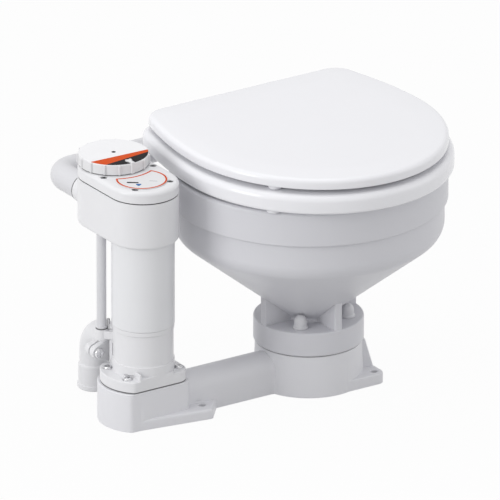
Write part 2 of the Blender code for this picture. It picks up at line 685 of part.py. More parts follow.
def channel():
    """Half-round topped bar from the pedestal to the pump base, wider where it meets the pedestal."""
    width, under = CHANNEL_HALF_WIDTH, -3 * ROOT
    arch = [(width * cos(pi * i / ARC_POINTS), CHANNEL_CENTRE + width * sin(pi * i / ARC_POINTS))
            for i in range(ARC_POINTS + 1)]
    outline = [(width, under)] + arch + [(-width, under)]
    bar = plate([outline], PUMP_X, -WASTE_RADIUS - ROOT, turn=(pi / 2, 0, pi / 2))
    near, inside = -PEDESTAL_FOOT_RADIUS, -PEDESTAL_FOOT_RADIUS + FLARE_LENGTH
    outside, narrow, wide = near - FLARE_LENGTH, width - ROOT / 2, width + FLARE_SPREAD
    flare = [(outside, -narrow), (near, -wide), (inside, -wide),
             (inside, wide), (near, wide), (outside, narrow)]
    return [bar, plate([flare], -4 * ROOT, CHANNEL_CENTRE)]


def pump_foot():
    half, toe, end = PUMP_FOOT_HALF_DEPTH, PUMP_X + PUMP_FOOT_TOE, PUMP_X + PUMP_FOOT_END
    heel, inner = PUMP_X - FLANGE_HALF_DEPTH, CHANNEL_HALF_WIDTH - ROOT
    front, back = PUMP_Y - FLANGE_HALF_DEPTH + ROOT / 2, PUMP_Y + FLANGE_HALF_DEPTH - ROOT
    corners = [(heel, front), (toe, -half), (end, -inner), (end, inner), (toe, half), (heel, back)]
    outline = rounded(corners, [0, PUMP_FOOT_CORNER, 0, 0, PUMP_FOOT_CORNER, 0])
    return plate([outline], -5 * ROOT, PUMP_FOOT_THICKNESS)


def base_casting():
    foot_radius = PEDESTAL_FOOT_RADIUS
    pedestal = turned([(0, PEDESTAL_HEIGHT), (PEDESTAL_TOP_RADIUS, PEDESTAL_HEIGHT), (foot_radius, 0),
                       (foot_radius, -ROOT), (0, -ROOT)], BIG_STEPS)
    feet = [foot(side) for side in (-1, 1)]
    fins = [fin(side) for side in (-1, 1)]
    outline = pump_plan(PUMP_BASE_RADIUS, PUMP_BASE_SIDE, PUMP_BASE_CORNER)
    pump_base = plate([outline], -6 * ROOT, PUMP_BASE_HEIGHT)
    solid = combine(pedestal, joins=[*feet, *fins, *channel(), pump_foot(), pump_base])
    reach = 2 * PEDESTAL_FOOT_RADIUS
    floor = block((2 * PUMP_X, -reach, -9 * ROOT), (-PUMP_X, reach, 0))
    solid = combine(solid, cuts=[floor])
    cuts = [disc(WASTE_RADIUS, WASTE_FLOOR, PEDESTAL_HEIGHT + OVERRUN, steps=SMALL_STEPS)]
    cuts.append(disc(PUMP_WELL_RADIUS, WASTE_FLOOR, PUMP_BASE_HEIGHT + OVERRUN, about_pump((0, 0))))
    cuts.append(rod_along_x(CHANNEL_BORE_RADIUS, PUMP_X, 0, 0, CHANNEL_CENTRE))
    cuts += holes(FOOT_HOLE_RADIUS, -OVERRUN, FOOT_THICKNESS + OVERRUN, foot_hole_places())
    cuts += holes(FOOT_HOLE_RADIUS, -OVERRUN, PUMP_FOOT_THICKNESS + OVERRUN, pump_foot_hole_places())
    stud_foot = PEDESTAL_HEIGHT - STUD_DEPTH - GAP
    cuts += holes(STUD_RADIUS + GAP, stud_foot, PEDESTAL_HEIGHT + OVERRUN, stud_places())
    screw_foot = PUMP_BASE_HEIGHT - PUMP_SCREW_LENGTH + PUMP_FLANGE_THICKNESS + PUMP_GASKET_THICKNESS
    cuts += holes(PUMP_SCREW_RADIUS + GAP, screw_foot, PUMP_BASE_HEIGHT + OVERRUN, pump_screw_places())
    part("base_casting", combine(solid, cuts=cuts), WHITE_SATIN)


def foot_hole_places():
    return [(FOOT_HOLE_X, side * FOOT_HOLE_Y) for side in (-1, 1)]


def pump_foot_hole_places():
    return [(PUMP_X + PUMP_FOOT_HOLE_REACH, side * PUMP_FOOT_HOLE_Y) for side in (-1, 1)]


def pump_screw_places():
    return [about_pump(place) for place in four_places(SCREW_OFFSET_X, SCREW_OFFSET_Y)]


def stud_places():
    reach = STUD_CIRCLE_RADIUS * sqrt(0.5)
    return four_places(reach, reach)


# Bowl, its gasket, studs and caps
def bowl_outside():
    rim, band = RIM_RADIUS, BAND_RADIUS
    profile = [
        (0, BOWL_HEIGHT), (rim - RIM_EDGE, BOWL_HEIGHT),
        (rim - RIM_EDGE / 4, BOWL_HEIGHT - RIM_EDGE / 4), (rim, BOWL_HEIGHT - RIM_EDGE),
        (rim, RIM_LOW_HEIGHT), (rim - RIM_EDGE / 4, RIM_LOW_HEIGHT - RIM_EDGE / 2),
        (band, BAND_HIGH_HEIGHT), (band, BAND_LOW_HEIGHT),
        (band - RIM_EDGE / 3, BAND_LOW_HEIGHT - 2 * RIM_EDGE),
        (band - 1.4 * RIM_EDGE, BAND_LOW_HEIGHT - 3.5 * RIM_EDGE),
        (CONE_TOP_RADIUS, CONE_TOP_HEIGHT), (THROAT_RADIUS, CONE_FOOT_HEIGHT), (THROAT_RADIUS, COLLAR_HEIGHT),
        (COLLAR_RADIUS - COLLAR_CHAMFER, COLLAR_HEIGHT), (COLLAR_RADIUS, COLLAR_HEIGHT - COLLAR_CHAMFER),
        (COLLAR_RADIUS, COLLAR_CHAMFER), (COLLAR_RADIUS - COLLAR_CHAMFER, 0), (0, 0),
    ]
    return turned(profile, BIG_STEPS, (0, 0, BOWL_BASE))


def bowl_inside():
    """The hollow: mouth, rim channel under the lip, and the basin down to the outlet."""
    across = BOWL_WALL * sqrt(1 + CONE_SLOPE * CONE_SLOPE)
    lip = BOWL_HEIGHT - LIP_THICKNESS
    profile = [
        (0, BOWL_HEIGHT + OVERRUN), (MOUTH_RADIUS, BOWL_HEIGHT + OVERRUN), (MOUTH_RADIUS, lip),
        (RIM_CHANNEL_RADIUS, lip - LIP_THICKNESS), (RIM_CHANNEL_RADIUS, RIM_LOW_HEIGHT),
        (BAND_RADIUS - 1.4 * BOWL_WALL, BAND_LOW_HEIGHT),
        (CONE_TOP_RADIUS - 1.3 * across, CONE_TOP_HEIGHT - BOWL_WALL),
        (WASTE_RADIUS + BOWL_WALL, CONE_FOOT_HEIGHT + 1.6 * BOWL_WALL),
        (WASTE_RADIUS, CONE_FOOT_HEIGHT + BOWL_WALL / 2), (WASTE_RADIUS, -OVERRUN), (0, -OVERRUN),
    ]
    return turned(profile, BIG_STEPS, (0, 0, BOWL_BASE))


def rib(angle):
    """One of the four upright ribs between the collar and the cone."""
    foot, top = COLLAR_TOP - ROOT, COLLAR_TOP + RIB_HEIGHT
    half = RIB_THICKNESS / 2
    shape = plain(block((WASTE_RADIUS + ROOT, -half, foot), (COLLAR_RADIUS - COLLAR_CHAMFER / 2, half, top)))
    shape.rotation_euler = (0, 0, angle)
    return shape


def deck():
    back = HINGE_Y + HINGE_FOOT_RADIUS
    corners = [(-DECK_HALF_WIDTH, 0), (DECK_HALF_WIDTH, 0), (DECK_HALF_WIDTH, back), (-DECK_HALF_WIDTH, back)]
    return plate([rounded(corners, [0, 0, DECK_CORNER, DECK_CORNER])], DECK_TOP - DECK_THICKNESS, DECK_TOP)


def bowl():
    solid = combine(bowl_outside(), joins=[*(rib(i * pi / 2) for i in range(4)), deck()])
    stud_holes = holes(STUD_RADIUS + STUD_PLAY, BOWL_BASE - OVERRUN, COLLAR_TOP + OVERRUN, stud_places())
    hinge_places = [(side * HINGE_X, HINGE_Y) for side in (-1, 1)]
    deck_under = DECK_TOP - DECK_THICKNESS
    hinge_holes = holes(HINGE_BOLT_RADIUS + GAP, deck_under - OVERRUN, RIM_TOP + OVERRUN, hinge_places)
    inlet = rod_along_y(INLET_SPIGOT_RADIUS + INLET_SEAL_THICKNESS, RIM_CHANNEL_RADIUS - 2 * ROOT,
                        RIM_RADIUS + OVERRUN, 0, PIPE_HEIGHT)
    solid = combine(solid, cuts=[bowl_inside(), *stud_holes, *hinge_holes, inlet])
    part("bowl", solid, CERAMIC)


def bowl_fixings():
    low = PEDESTAL_HEIGHT + GAP
    high = low + BOWL_GASKET_THICKNESS
    gasket = ring(PEDESTAL_TOP_RADIUS - GAP, WASTE_RADIUS + GAP, low, high, steps=MID_STEPS)
    stud_holes = holes(STUD_RADIUS + STUD_PLAY, low - OVERRUN, high + OVERRUN, stud_places())
    part("bowl_gasket", combine(gasket, cuts=stud_holes), GREY_RUBBER)
    for number, place in enumerate(stud_places(), 1):
        stud = disc(STUD_RADIUS, PEDESTAL_HEIGHT - STUD_DEPTH, COLLAR_TOP + STUD_STAND, place, TINY_STEPS)
        part(f"bowl_stud_{number}", plain(stud), STEEL, (*place, COLLAR_TOP))
        low = COLLAR_TOP + GAP
        dome = [(0, CAP_HEIGHT), *((CAP_RADIUS * across, CAP_HEIGHT * up) for across, up in DOME_SHARES),
                (CAP_RADIUS, CAP_SKIRT_HEIGHT),
                (CAP_SKIRT_RADIUS, CAP_SKIRT_HEIGHT), (CAP_SKIRT_RADIUS, 0), (STUD_RADIUS + GAP, 0),
                (STUD_RADIUS + GAP, STUD_STAND), (0, STUD_STAND)]
        part(f"stud_cap_{number}", plain(turned(dome, TINY_STEPS, (*place, low))), WHITE_GLOSS, (*place, low))


# Macerator housing with its gasket and screws
def flange_outline(inset=0.0):
    return pump_plan(FLANGE_RADIUS, FLANGE_SIDE, FLANGE_CORNER, inset)


def port_outline():
    lugs = [(PORT_LUG_RADIUS, side * PORT_BOLT_SPREAD, PORT_HEIGHT) for side in (-1, 1)]
    return hull([(PORT_FLANGE_RADIUS, 0, PORT_HEIGHT), *lugs])


def port_bolts(low, high):
    """Cutters for the flange's two bolts."""
    radius = PORT_SCREW_RADIUS + GAP
    return [rod_along_y(radius, low - OVERRUN, high + OVERRUN, PUMP_X + side * PORT_BOLT_SPREAD, PORT_HEIGHT,
                        TINY_STEPS) for side in (-1, 1)]


def port_flange(low, high):
    """The two-bolt flange's plan stands upright, across Y."""
    return plate([port_outline()], -high, -low, turn=(pi / 2, 0, 0), at=(PUMP_X, 0, 0))


def arm():
    """Reaches from the chamber to the foot of the feed tube, with a web under it."""
    low = ARM_TOP - ARM_DEPTH
    reach = hypot(TUBE_X, TUBE_Y)
    half, thin = ARM_WIDTH / 2, WEB_THICKNESS / 2
    inside = CHAMBER_RADIUS - ROOT
    bar = plain(block((inside, -half, low), (reach, half, ARM_TOP - ROOT / 2)))
    web = plain(block((inside, -thin, FLANGE_TOP - ROOT), (CHAMBER_RADIUS + WEB_REACH, thin, ARM_TOP - ROOT)))
    for shape in (bar, web):
        shape.rotation_euler = (0, 0, atan2(TUBE_Y, TUBE_X))
        shape.location = (*about_pump((0, 0)), 0)
    boss = disc(ARM_BOSS_RADIUS, low - ROOT, ARM_TOP, about_pump((TUBE_X, TUBE_Y)))
    return [bar, web, boss]


def macerator_housing():
    axis = about_pump((0, 0))
    ring_top = FLANGE_TOP + FOOT_RING_HEIGHT
    body = turned([(0, CHAMBER_TOP), (CHAMBER_RADIUS, CHAMBER_TOP), (CHAMBER_RADIUS, ring_top),
                   (FOOT_RING_RADIUS, ring_top), (FOOT_RING_RADIUS, FLANGE_TOP - ROOT),
                   (0, FLANGE_TOP - ROOT)], MID_STEPS, (*axis, 0))
    flange = plate([flange_outline()], FLANGE_LOW, FLANGE_TOP)
    face = PORT_FACE_Y
    port_back = face - PORT_FLANGE_THICKNESS
    port_root = PUMP_Y + CHAMBER_RADIUS - 2 * ROOT - CHAMBER_WALL
    port = rod_along_y(PORT_RADIUS, port_root, face - ROOT, PUMP_X, PORT_HEIGHT)
    solid = combine(body, joins=[flange, port, port_flange(port_back, face), *arm()])
    chamber_floor = FLANGE_LOW + CHAMBER_FLOOR
    chamber = disc(CHAMBER_RADIUS - CHAMBER_WALL, chamber_floor, CHAMBER_TOP + OVERRUN, axis, MID_STEPS)
    inlet = disc(INLET_RADIUS, FLANGE_LOW - OVERRUN, FLANGE_TOP + OVERRUN, axis)
    outlet = rod_along_y(PORT_BORE_RADIUS, PUMP_Y, face + OVERRUN, PUMP_X, PORT_HEIGHT)
    above, places = FLANGE_TOP + OVERRUN, pump_screw_places()
    screws = holes(PUMP_SCREW_RADIUS + GAP, FLANGE_LOW - OVERRUN, above, places)
    sinks = holes(PUMP_SCREW_HEAD_RADIUS + 2 * GAP, FLANGE_TOP - PUMP_SCREW_SINK, above, places)
    tube_place = about_pump((TUBE_X, TUBE_Y))
    tube_hole = holes(TUBE_BORE_RADIUS, ARM_TOP - ARM_DEPTH / 2, ARM_TOP + OVERRUN, [tube_place])
    bolts = port_bolts(port_back, face)
    solid = combine(solid, cuts=[chamber, inlet, outlet, *tube_hole, *screws, *sinks, *bolts])
    part("macerator_housing", solid, WHITE_GLOSS, (*axis, FLANGE_LOW))


def pump_fixings():
    low = PUMP_BASE_HEIGHT + GAP
    high = low + PUMP_GASKET_THICKNESS
    axis = about_pump((0, 0))
    gasket = plate([flange_outline(GAP)], low, high)
    cuts = holes(PUMP_SCREW_RADIUS + GAP, low - OVERRUN, high + OVERRUN, pump_screw_places())
    cuts.append(disc(INLET_RADIUS, low - OVERRUN, high + OVERRUN, axis))
    part("pump_gasket", combine(gasket, cuts=cuts), RUBBER)
    seat = FLANGE_TOP - PUMP_SCREW_SINK + GAP
    length = PUMP_SCREW_LENGTH - PUMP_SCREW_SINK - SCREW_FLOOR
    head, height = PUMP_SCREW_HEAD_RADIUS, PUMP_SCREW_HEAD_HEIGHT
    for number, place in enumerate(pump_screw_places(), 1):
        screw = pan_screw(PUMP_SCREW_RADIUS, length, head, height, SCREW_EDGE, seat, place)
        part(f"pump_screw_{number}", screw, STEEL, (*place, seat))


# Discharge side: one-way valve, elbow and its screws
def discharge():
    ring_low = PORT_FACE_Y + GAP
    ring_high = ring_low + VALVE_RING_THICKNESS
    wide = ELBOW_BORE_RADIUS - VALVE_RING_THICKNESS
    profile = [(VALVE_TIP_RADIUS, VALVE_LENGTH), (VALVE_TIP_RADIUS, VALVE_LENGTH * 0.9),
               (wide, VALVE_RING_THICKNESS), (VALVE_RING_RADIUS, VALVE_RING_THICKNESS),
               (VALVE_RING_RADIUS, 0), (wide - VALVE_RING_THICKNESS, 0),
               (VALVE_SLIT, VALVE_LENGTH * 0.8), (VALVE_SLIT, VALVE_LENGTH)]
    valve = turned(profile, SMALL_STEPS, (PUMP_X, ring_low, PORT_HEIGHT), True, (-pi / 2, 0, 0))
    part("joker_valve", plain(valve), RUBBER, (PUMP_X, ring_low, PORT_HEIGHT))

    low = ring_high + GAP
    high = low + PORT_FLANGE_THICKNESS
    route = [(PUMP_X, high - ROOT, PORT_HEIGHT), (PUMP_X, ELBOW_Y, PORT_HEIGHT),
             (PUMP_X, ELBOW_Y, ELBOW_END_HEIGHT + ROOT)]
    outer = tube(bent(route, ELBOW_BEND), ELBOW_RADIUS, 5)
    foot, end = ELBOW_RING_HEIGHT, ELBOW_END_HEIGHT
    socket = turned([(0, ELBOW_SOCKET_TOP), (ELBOW_RADIUS - ROOT, ELBOW_SOCKET_TOP),
                     (ELBOW_SOCKET_RADIUS, ELBOW_SOCKET_TOP - ROOT), (ELBOW_SOCKET_RADIUS, end + foot),
                     (ELBOW_RING_RADIUS, end + foot), (ELBOW_RING_RADIUS, end + ELBOW_RING_EDGE),
                     (ELBOW_RING_RADIUS - ELBOW_RING_EDGE, end), (0, end)], MID_STEPS, (PUMP_X, ELBOW_Y, 0))
    solid = combine(port_flange(low, high), joins=[outer, socket])
    inner_route = [(PUMP_X, low - OVERRUN, PORT_HEIGHT), (PUMP_X, ELBOW_Y, PORT_HEIGHT),
                   (PUMP_X, ELBOW_Y, -OVERRUN)]
    inner = tube(bent(inner_route, ELBOW_BEND), ELBOW_BORE_RADIUS, 3)
    solid = combine(solid, cuts=[inner, *port_bolts(low, high)])
    part("discharge_elbow", solid, WHITE_GLOSS, (PUMP_X, low, PORT_HEIGHT))

    under = PORT_FACE_Y - PORT_FLANGE_THICKNESS - GAP
    for number, side in enumerate((-1, 1), 1):
        at = (PUMP_X + side * PORT_BOLT_SPREAD, under, PORT_HEIGHT)
        head, height, length = PORT_SCREW_HEAD_RADIUS, PORT_SCREW_HEAD_HEIGHT, high - under
        points = [(0, height), (head - SCREW_EDGE, height), (head, height - SCREW_EDGE), (head, 0),
                  (PORT_SCREW_RADIUS, 0), (PORT_SCREW_RADIUS, -length), (0, -length)]
        screw = plain(turned(points, TINY_STEPS, at, turn=(pi / 2, 0, 0)))
        front = under - height
        slot = block((at[0] - SLOT_WIDTH / 2, front - OVERRUN, PORT_HEIGHT - head - OVERRUN),
                     (at[0] + SLOT_WIDTH / 2, front + SLOT_DEPTH, PORT_HEIGHT + head + OVERRUN))
        part(f"elbow_screw_{number}", combine(screw, cuts=[slot]), STEEL, at)


# Motor column
def motor_column():
    axis = about_pump((0, 0))
    bearing_low = CARRIER_TOP - BEARING_THICKNESS
    seal_top = bearing_low - GAP - SCREW_FLOOR
    seal_low = seal_top - SEAL_THICKNESS
    carrier = turned([(0, CARRIER_TOP), (CARRIER_RADIUS, CARRIER_TOP), (CARRIER_RADIUS, CARRIER_LOW),
                      (CARRIER_BOSS_RADIUS, CARRIER_LOW), (CARRIER_BOSS_RADIUS, seal_low), (0, seal_low)],
                     MID_STEPS, (*axis, 0))
    cuts = [disc(BEARING_RADIUS + GAP, bearing_low - GAP, CARRIER_TOP + OVERRUN, axis),
            disc(SEAL_RADIUS + GAP, seal_low - OVERRUN, seal_top + GAP, axis),
            disc(SHAFT_RADIUS + TURN_GAP, seal_low - OVERRUN, CARRIER_TOP + OVERRUN, axis)]
    part("seal_carrier", combine(carrier, cuts=cuts), WHITE_GLOSS, (*axis, CARRIER_LOW))
    bore = SHAFT_RADIUS + GAP
    seal = ring(SEAL_RADIUS, bore, seal_low, seal_top, axis)
    part("shaft_seal", plain(seal), RUBBER, (*axis, seal_low))
    bearing = ring(BEARING_RADIUS, bore, bearing_low, CARRIER_TOP, axis)
    part("lower_bearing", plain(bearing), STEEL, (*axis, bearing_low))

    top_inside = CASING_TOP - CASING_WALL
    boss_low = top_inside - BEARING_THICKNESS
    inner, shaft_hole = CASING_RADIUS - CASING_WALL, SHAFT_RADIUS + TURN_GAP
    casing = turned([(shaft_hole, CASING_TOP), (CASING_RADIUS, CASING_TOP), (CASING_RADIUS, CASING_LOW),
                     (inner, CASING_LOW), (inner, top_inside), (BEARING_BOSS_RADIUS, top_inside),
                     (BEARING_BOSS_RADIUS, boss_low), (BEARING_RADIUS + GAP, boss_low),
                     (BEARING_RADIUS + GAP, top_inside), (shaft_hole, top_inside)],
                    MID_STEPS, (*axis, 0), True)
    part("motor_casing", plain(casing), WHITE_GLOSS, (*axis, CASING_LOW))
    bearing = ring(BEARING_RADIUS, bore, boss_low, top_inside - GAP, axis)
    part("upper_bearing", plain(bearing), STEEL, (*axis, boss_low))
    yoke = ring(YOKE_RADIUS, YOKE_BORE, CASING_LOW, top_inside - GAP, axis, MID_STEPS)
    part("motor_yoke", plain(yoke), IRON, (*axis, CASING_LOW))
    magnets(axis)
    brush_plate(axis)


def magnets(axis):
    outer, inner = MAGNET_RADIUS, MAGNET_RADIUS - MAGNET_THICKNESS
    for number, middle in enumerate((0, pi), 1):
        angles = [middle - MAGNET_ANGLE / 2 + MAGNET_ANGLE * i / ARC_POINTS for i in range(ARC_POINTS + 1)]
        outline = [(axis[0] + outer * cos(a), axis[1] + outer * sin(a)) for a in angles]
        outline += [(axis[0] + inner * cos(a), axis[1] + inner * sin(a)) for a in reversed(angles)]
        magnet = plate([outline], MAGNET_LOW, MAGNET_TOP)
        part(f"field_magnet_{number}", magnet, FERRITE)


def core_heights():
    """Foot of the core, its top, and the top of the commutator."""
    return MAGNET_LOW, MAGNET_TOP, MAGNET_TOP + WINDING_LENGTH + COMMUTATOR_LENGTH


def brush_plate(axis):
    high = core_heights()[1]
    middle = high + WINDING_LENGTH + COMMUTATOR_LENGTH / 2
    half, reach = BRUSH_PLATE_THICKNESS / 2, YOKE_BORE - GAP
    hole = BEARING_BOSS_RADIUS + GAP
    plate_ring = plain(ring(reach, hole, middle - half, middle + half, axis, MID_STEPS))
    inner, outer = COMMUTATOR_RADIUS + AIR_GAP, hole + ROOT
    x, y = axis
    front, back = y - BRUSH_WIDTH / 2, y + BRUSH_WIDTH / 2
    low, high = middle - BRUSH_HEIGHT / 2, middle + BRUSH_HEIGHT / 2
    brushes = [block((x + start, front, low), (x + end, back, high))
               for start, end in ((-outer, -inner), (inner, outer))]
    part("brush_plate", combine(plate_ring, joins=brushes), COPPER)


# Rotor: everything that the motor turns
def rotor():
    axis = about_pump((0, 0))
    bore = SHAFT_RADIUS + GAP
    spin = pivot("rotor_axis", (*axis, CASING_LOW))
    low, high, comm_top = core_heights()
    core = turned([(COMMUTATOR_RADIUS, comm_top), (COMMUTATOR_RADIUS, high + WINDING_LENGTH),
                   (WINDING_RADIUS, high + WINDING_LENGTH), (WINDING_RADIUS, high), (CORE_RADIUS, high),
                   (CORE_RADIUS, low), (WINDING_RADIUS, low), (WINDING_RADIUS, low - WINDING_LENGTH),
                   (bore, low - WINDING_LENGTH), (bore, comm_top)], SMALL_STEPS, (*axis, 0), True)
    slots = []
    for i in range(CORE_SLOTS):
        slot = plain(block((CORE_RADIUS - CORE_SLOT_DEPTH, -CORE_SLOT_WIDTH / 2, low - OVERRUN),
                           (CORE_RADIUS + OVERRUN, CORE_SLOT_WIDTH / 2, high + OVERRUN)))
        slot.rotation_euler = (0, 0, 2 * pi * i / CORE_SLOTS)
        slot.location = (*axis, 0)
        slots.append(slot)
    part("armature", combine(core, cuts=slots), COPPER, (*axis, low), spin)

    rinse_low = HEAD_LOW + HEAD_FLOOR + TURN_GAP
    hub_low = FLANGE_TOP
    shaft = disc(SHAFT_RADIUS, hub_low, rinse_low + RINSE_HEIGHT, axis)
    part("motor_shaft", plain(shaft), STEEL, (*axis, hub_low), spin)

    hub = disc(CHOPPER_HUB_RADIUS, hub_low, hub_low + 2 * CHOPPER_THICKNESS, axis)
    arms = block((axis[0] - CHOPPER_RADIUS, axis[1] - CHOPPER_WIDTH / 2, hub_low),
                 (axis[0] + CHOPPER_RADIUS, axis[1] + CHOPPER_WIDTH / 2, hub_low + CHOPPER_THICKNESS))
    hole = disc(bore, hub_low - OVERRUN, hub_low + OVERRUN + 2 * CHOPPER_THICKNESS, axis)
    part("chopper_blade", combine(hub, joins=[arms], cuts=[hole]), STEEL, (*axis, hub_low), spin)

    wheel_low = hub_low + 2 * CHOPPER_THICKNESS + GAP
    wheel = vaned_wheel(axis, wheel_low, WHEEL_RADIUS, WHEEL_HEIGHT, WHEEL_VANES, WHEEL_DISC, bore)
    part("waste_impeller", wheel, WHITE_SATIN, (*axis, wheel_low), spin)
    rinse = vaned_wheel(axis, rinse_low, RINSE_RADIUS, RINSE_HEIGHT, RINSE_VANES, 0, bore)
    part("rinse_impeller", rinse, RUBBER, (*axis, rinse_low), spin)


def vaned_wheel(axis, low, radius, height, count, disc_height, bore):
    """A hub with straight vanes, on a disc if it has one."""
    hub = disc(CHOPPER_HUB_RADIUS, low, low + height, axis)
    vanes = []
    for i in range(count):
        vane = plain(block((bore, -VANE_THICKNESS / 2, low), (radius, VANE_THICKNESS / 2, low + height)))
        vane.rotation_euler = (0, 0, 2 * pi * i / count)
        vane.location = (*axis, 0)
        vanes.append(vane)
    if disc_height:
        vanes.append(disc(radius - GAP, low + height / 2, low + height / 2 + disc_height, axis))
    hole = disc(bore, low - OVERRUN, low + height + OVERRUN, axis)
    return combine(hub, joins=vanes, cuts=[hole])


# Feed tube
def feed_tube():
    x, y = about_pump((TUBE_X, TUBE_Y))
    low, high = ARM_TOP + GAP, HEAD_LOW - GAP
    profile = [(TUBE_RADIUS, high), (TUBE_RADIUS, low + TUBE_FERRULE_HEIGHT),
               (TUBE_FERRULE_RADIUS, low + TUBE_FERRULE_HEIGHT), (TUBE_FERRULE_RADIUS, low),
               (TUBE_BORE_RADIUS, low), (TUBE_BORE_RADIUS, high)]
    part("feed_tube", plain(turned(profile, SMALL_STEPS, (x, y, 0), True)), WHITE_SATIN, (x, y, low))


# Head: housing, gasket, cover, screws, mode plate
def screw_places():
    return [about_pump((side * x, y)) for x, y in (COVER_SCREW_FRONT, COVER_SCREW_BACK) for side in (-1, 1)]


def head_housing():
    axis = about_pump((0, 0))
    knob = about_pump((0, HEAD_SPAN))
    outline = two_ends(HEAD_RADIUS, HEAD_SPAN, axis)
    shell = plate([outline], HEAD_LOW, HEAD_TOP)
    inner = two_ends(HEAD_RADIUS - HEAD_WALL, HEAD_SPAN, axis)
    floor = HEAD_LOW + HEAD_FLOOR
    hollow = plate([inner], floor, HEAD_TOP + OVERRUN)
    shell = combine(shell, cuts=[hollow])
    rear = KNOB_Y + HEAD_RADIUS
    socket = rod_along_y(SOCKET_RADIUS, rear - HEAD_WALL, rear + SOCKET_LENGTH, PUMP_X, PIPE_HEIGHT)
    inside, wall_foot = RINSE_RADIUS + TURN_GAP, floor - ROOT / 2
    wall_top = floor + RINSE_HEIGHT + ROOT
    rinse_wall = ring(inside + RINSE_RING_WALL, inside, wall_foot, wall_top, axis, MID_STEPS)
    inside = PLUG_RADIUS + TURN_GAP
    plug_seat = ring(inside + PLUG_SEAT_WALL, inside, wall_foot, floor + PLUG_HEIGHT, knob)
    bosses = screw_bosses(HEAD_TOP - COVER_SCREW_LENGTH, HEAD_TOP - GAP)
    shell = combine(shell, joins=[socket, rinse_wall, plug_seat, *bosses])
    bore_start, bore_end = rear - 2 * HEAD_WALL, rear + SOCKET_LENGTH + OVERRUN
    bore = rod_along_y(PIPE_BORE_RADIUS, bore_start, bore_end, PUMP_X, PIPE_HEIGHT)
    shaft_hole = disc(SHAFT_RADIUS + TURN_GAP, HEAD_LOW - OVERRUN, floor + OVERRUN, axis)
    tube_place = about_pump((TUBE_X, TUBE_Y))
    feed_hole = holes(TUBE_BORE_RADIUS, HEAD_LOW - OVERRUN, floor + OVERRUN, [tube_place])
    screw_foot = HEAD_TOP - COVER_SCREW_LENGTH + SCREW_FLOOR
    screws = holes(COVER_SCREW_RADIUS + GAP, screw_foot, HEAD_TOP + OVERRUN, screw_places())
    shell = combine(shell, cuts=[bore, shaft_hole, *feed_hole, *screws])
    part("head_housing", shell, WHITE_GLOSS, (*axis, HEAD_LOW))


def screw_bosses(low, high):
    """Bosses for the cover screws, each joined to the wall beside it and trimmed inside it."""
    limit_outline = two_ends(HEAD_RADIUS - HEAD_WALL / 2, HEAD_SPAN, about_pump((0, 0)))
    bosses = []
    for x, y in screw_places():
        outer = about_pump(((x - PUMP_X) * BOSS_REACH, (y - PUMP_Y) * BOSS_REACH))
        boss_outline = hull([(COVER_BOSS_RADIUS, x, y), (COVER_BOSS_RADIUS, *outer)], TINY_STEPS)
        limit = plate([limit_outline], low - OVERRUN, high + OVERRUN)
        bosses.append(intersected(plate([boss_outline], low, high), limit))
    return bosses


def intersected(shape, limit):
    modifier = shape.modifiers.new("INTERSECT", "BOOLEAN")
    modifier.operation = "INTERSECT"
    modifier.solver = "EXACT"
    modifier.object = limit
    return plain(shape)


def head_cover():
    axis = about_pump((0, 0))
    knob = about_pump((0, HEAD_SPAN))
    low = HEAD_TOP + GAP
    inside = two_ends(HEAD_RADIUS - HEAD_WALL, HEAD_SPAN, axis)
    outside = two_ends(HEAD_RADIUS - GAP, HEAD_SPAN, axis)
    gasket = plate([outside, inside], low, low + HEAD_GASKET_THICKNESS)
    screws = holes(COVER_SCREW_RADIUS + GAP, low - OVERRUN, low + OVERRUN, screw_places())
    part("head_gasket", combine(gasket, cuts=screws), GREY_RUBBER)

    whole = plate([two_ends(HEAD_RADIUS, HEAD_SPAN, axis)], COVER_LOW - COVER_HEIGHT, COVER_TOP, COVER_EDGE)
    below = block((PUMP_X - 2 * HEAD_RADIUS, -HEAD_RADIUS - HEAD_SPAN, COVER_LOW - 2 * COVER_HEIGHT),
                  (PUMP_X + 2 * HEAD_RADIUS, KNOB_Y + 2 * HEAD_RADIUS, COVER_LOW))
    hollow = plate([inside], COVER_LOW - ROOT, COVER_TOP - COVER_THICKNESS)
    cover = combine(whole, cuts=[below])
    cover = combine(cover, cuts=[hollow])
    cover = combine(cover, joins=screw_bosses(COVER_LOW + GAP, COVER_TOP - COVER_THICKNESS / 2))
    seat = COVER_TOP - COVER_SCREW_HEAD_HEIGHT - GAP
    above = COVER_TOP + OVERRUN
    cuts = holes(COVER_SCREW_RADIUS + GAP, COVER_LOW - OVERRUN, above, screw_places())
    cuts += holes(COVER_SCREW_HEAD_RADIUS + GAP, seat, above, screw_places())
    cuts.append(disc(SPINDLE_RADIUS + TURN_GAP, COVER_LOW - OVERRUN, above, knob))
    part("head_cover", combine(cover, cuts=cuts), WHITE_GLOSS, (*axis, COVER_LOW))
    length = seat - HEAD_TOP + COVER_SCREW_LENGTH - 2 * SCREW_FLOOR
    head, height = COVER_SCREW_HEAD_RADIUS, COVER_SCREW_HEAD_HEIGHT
    for number, place in enumerate(screw_places(), 1):
        screw = pan_screw(COVER_SCREW_RADIUS, length, head, height, SCREW_EDGE / 2, seat + GAP, place)
        part(f"cover_screw_{number}", screw, STEEL, (*place, seat))


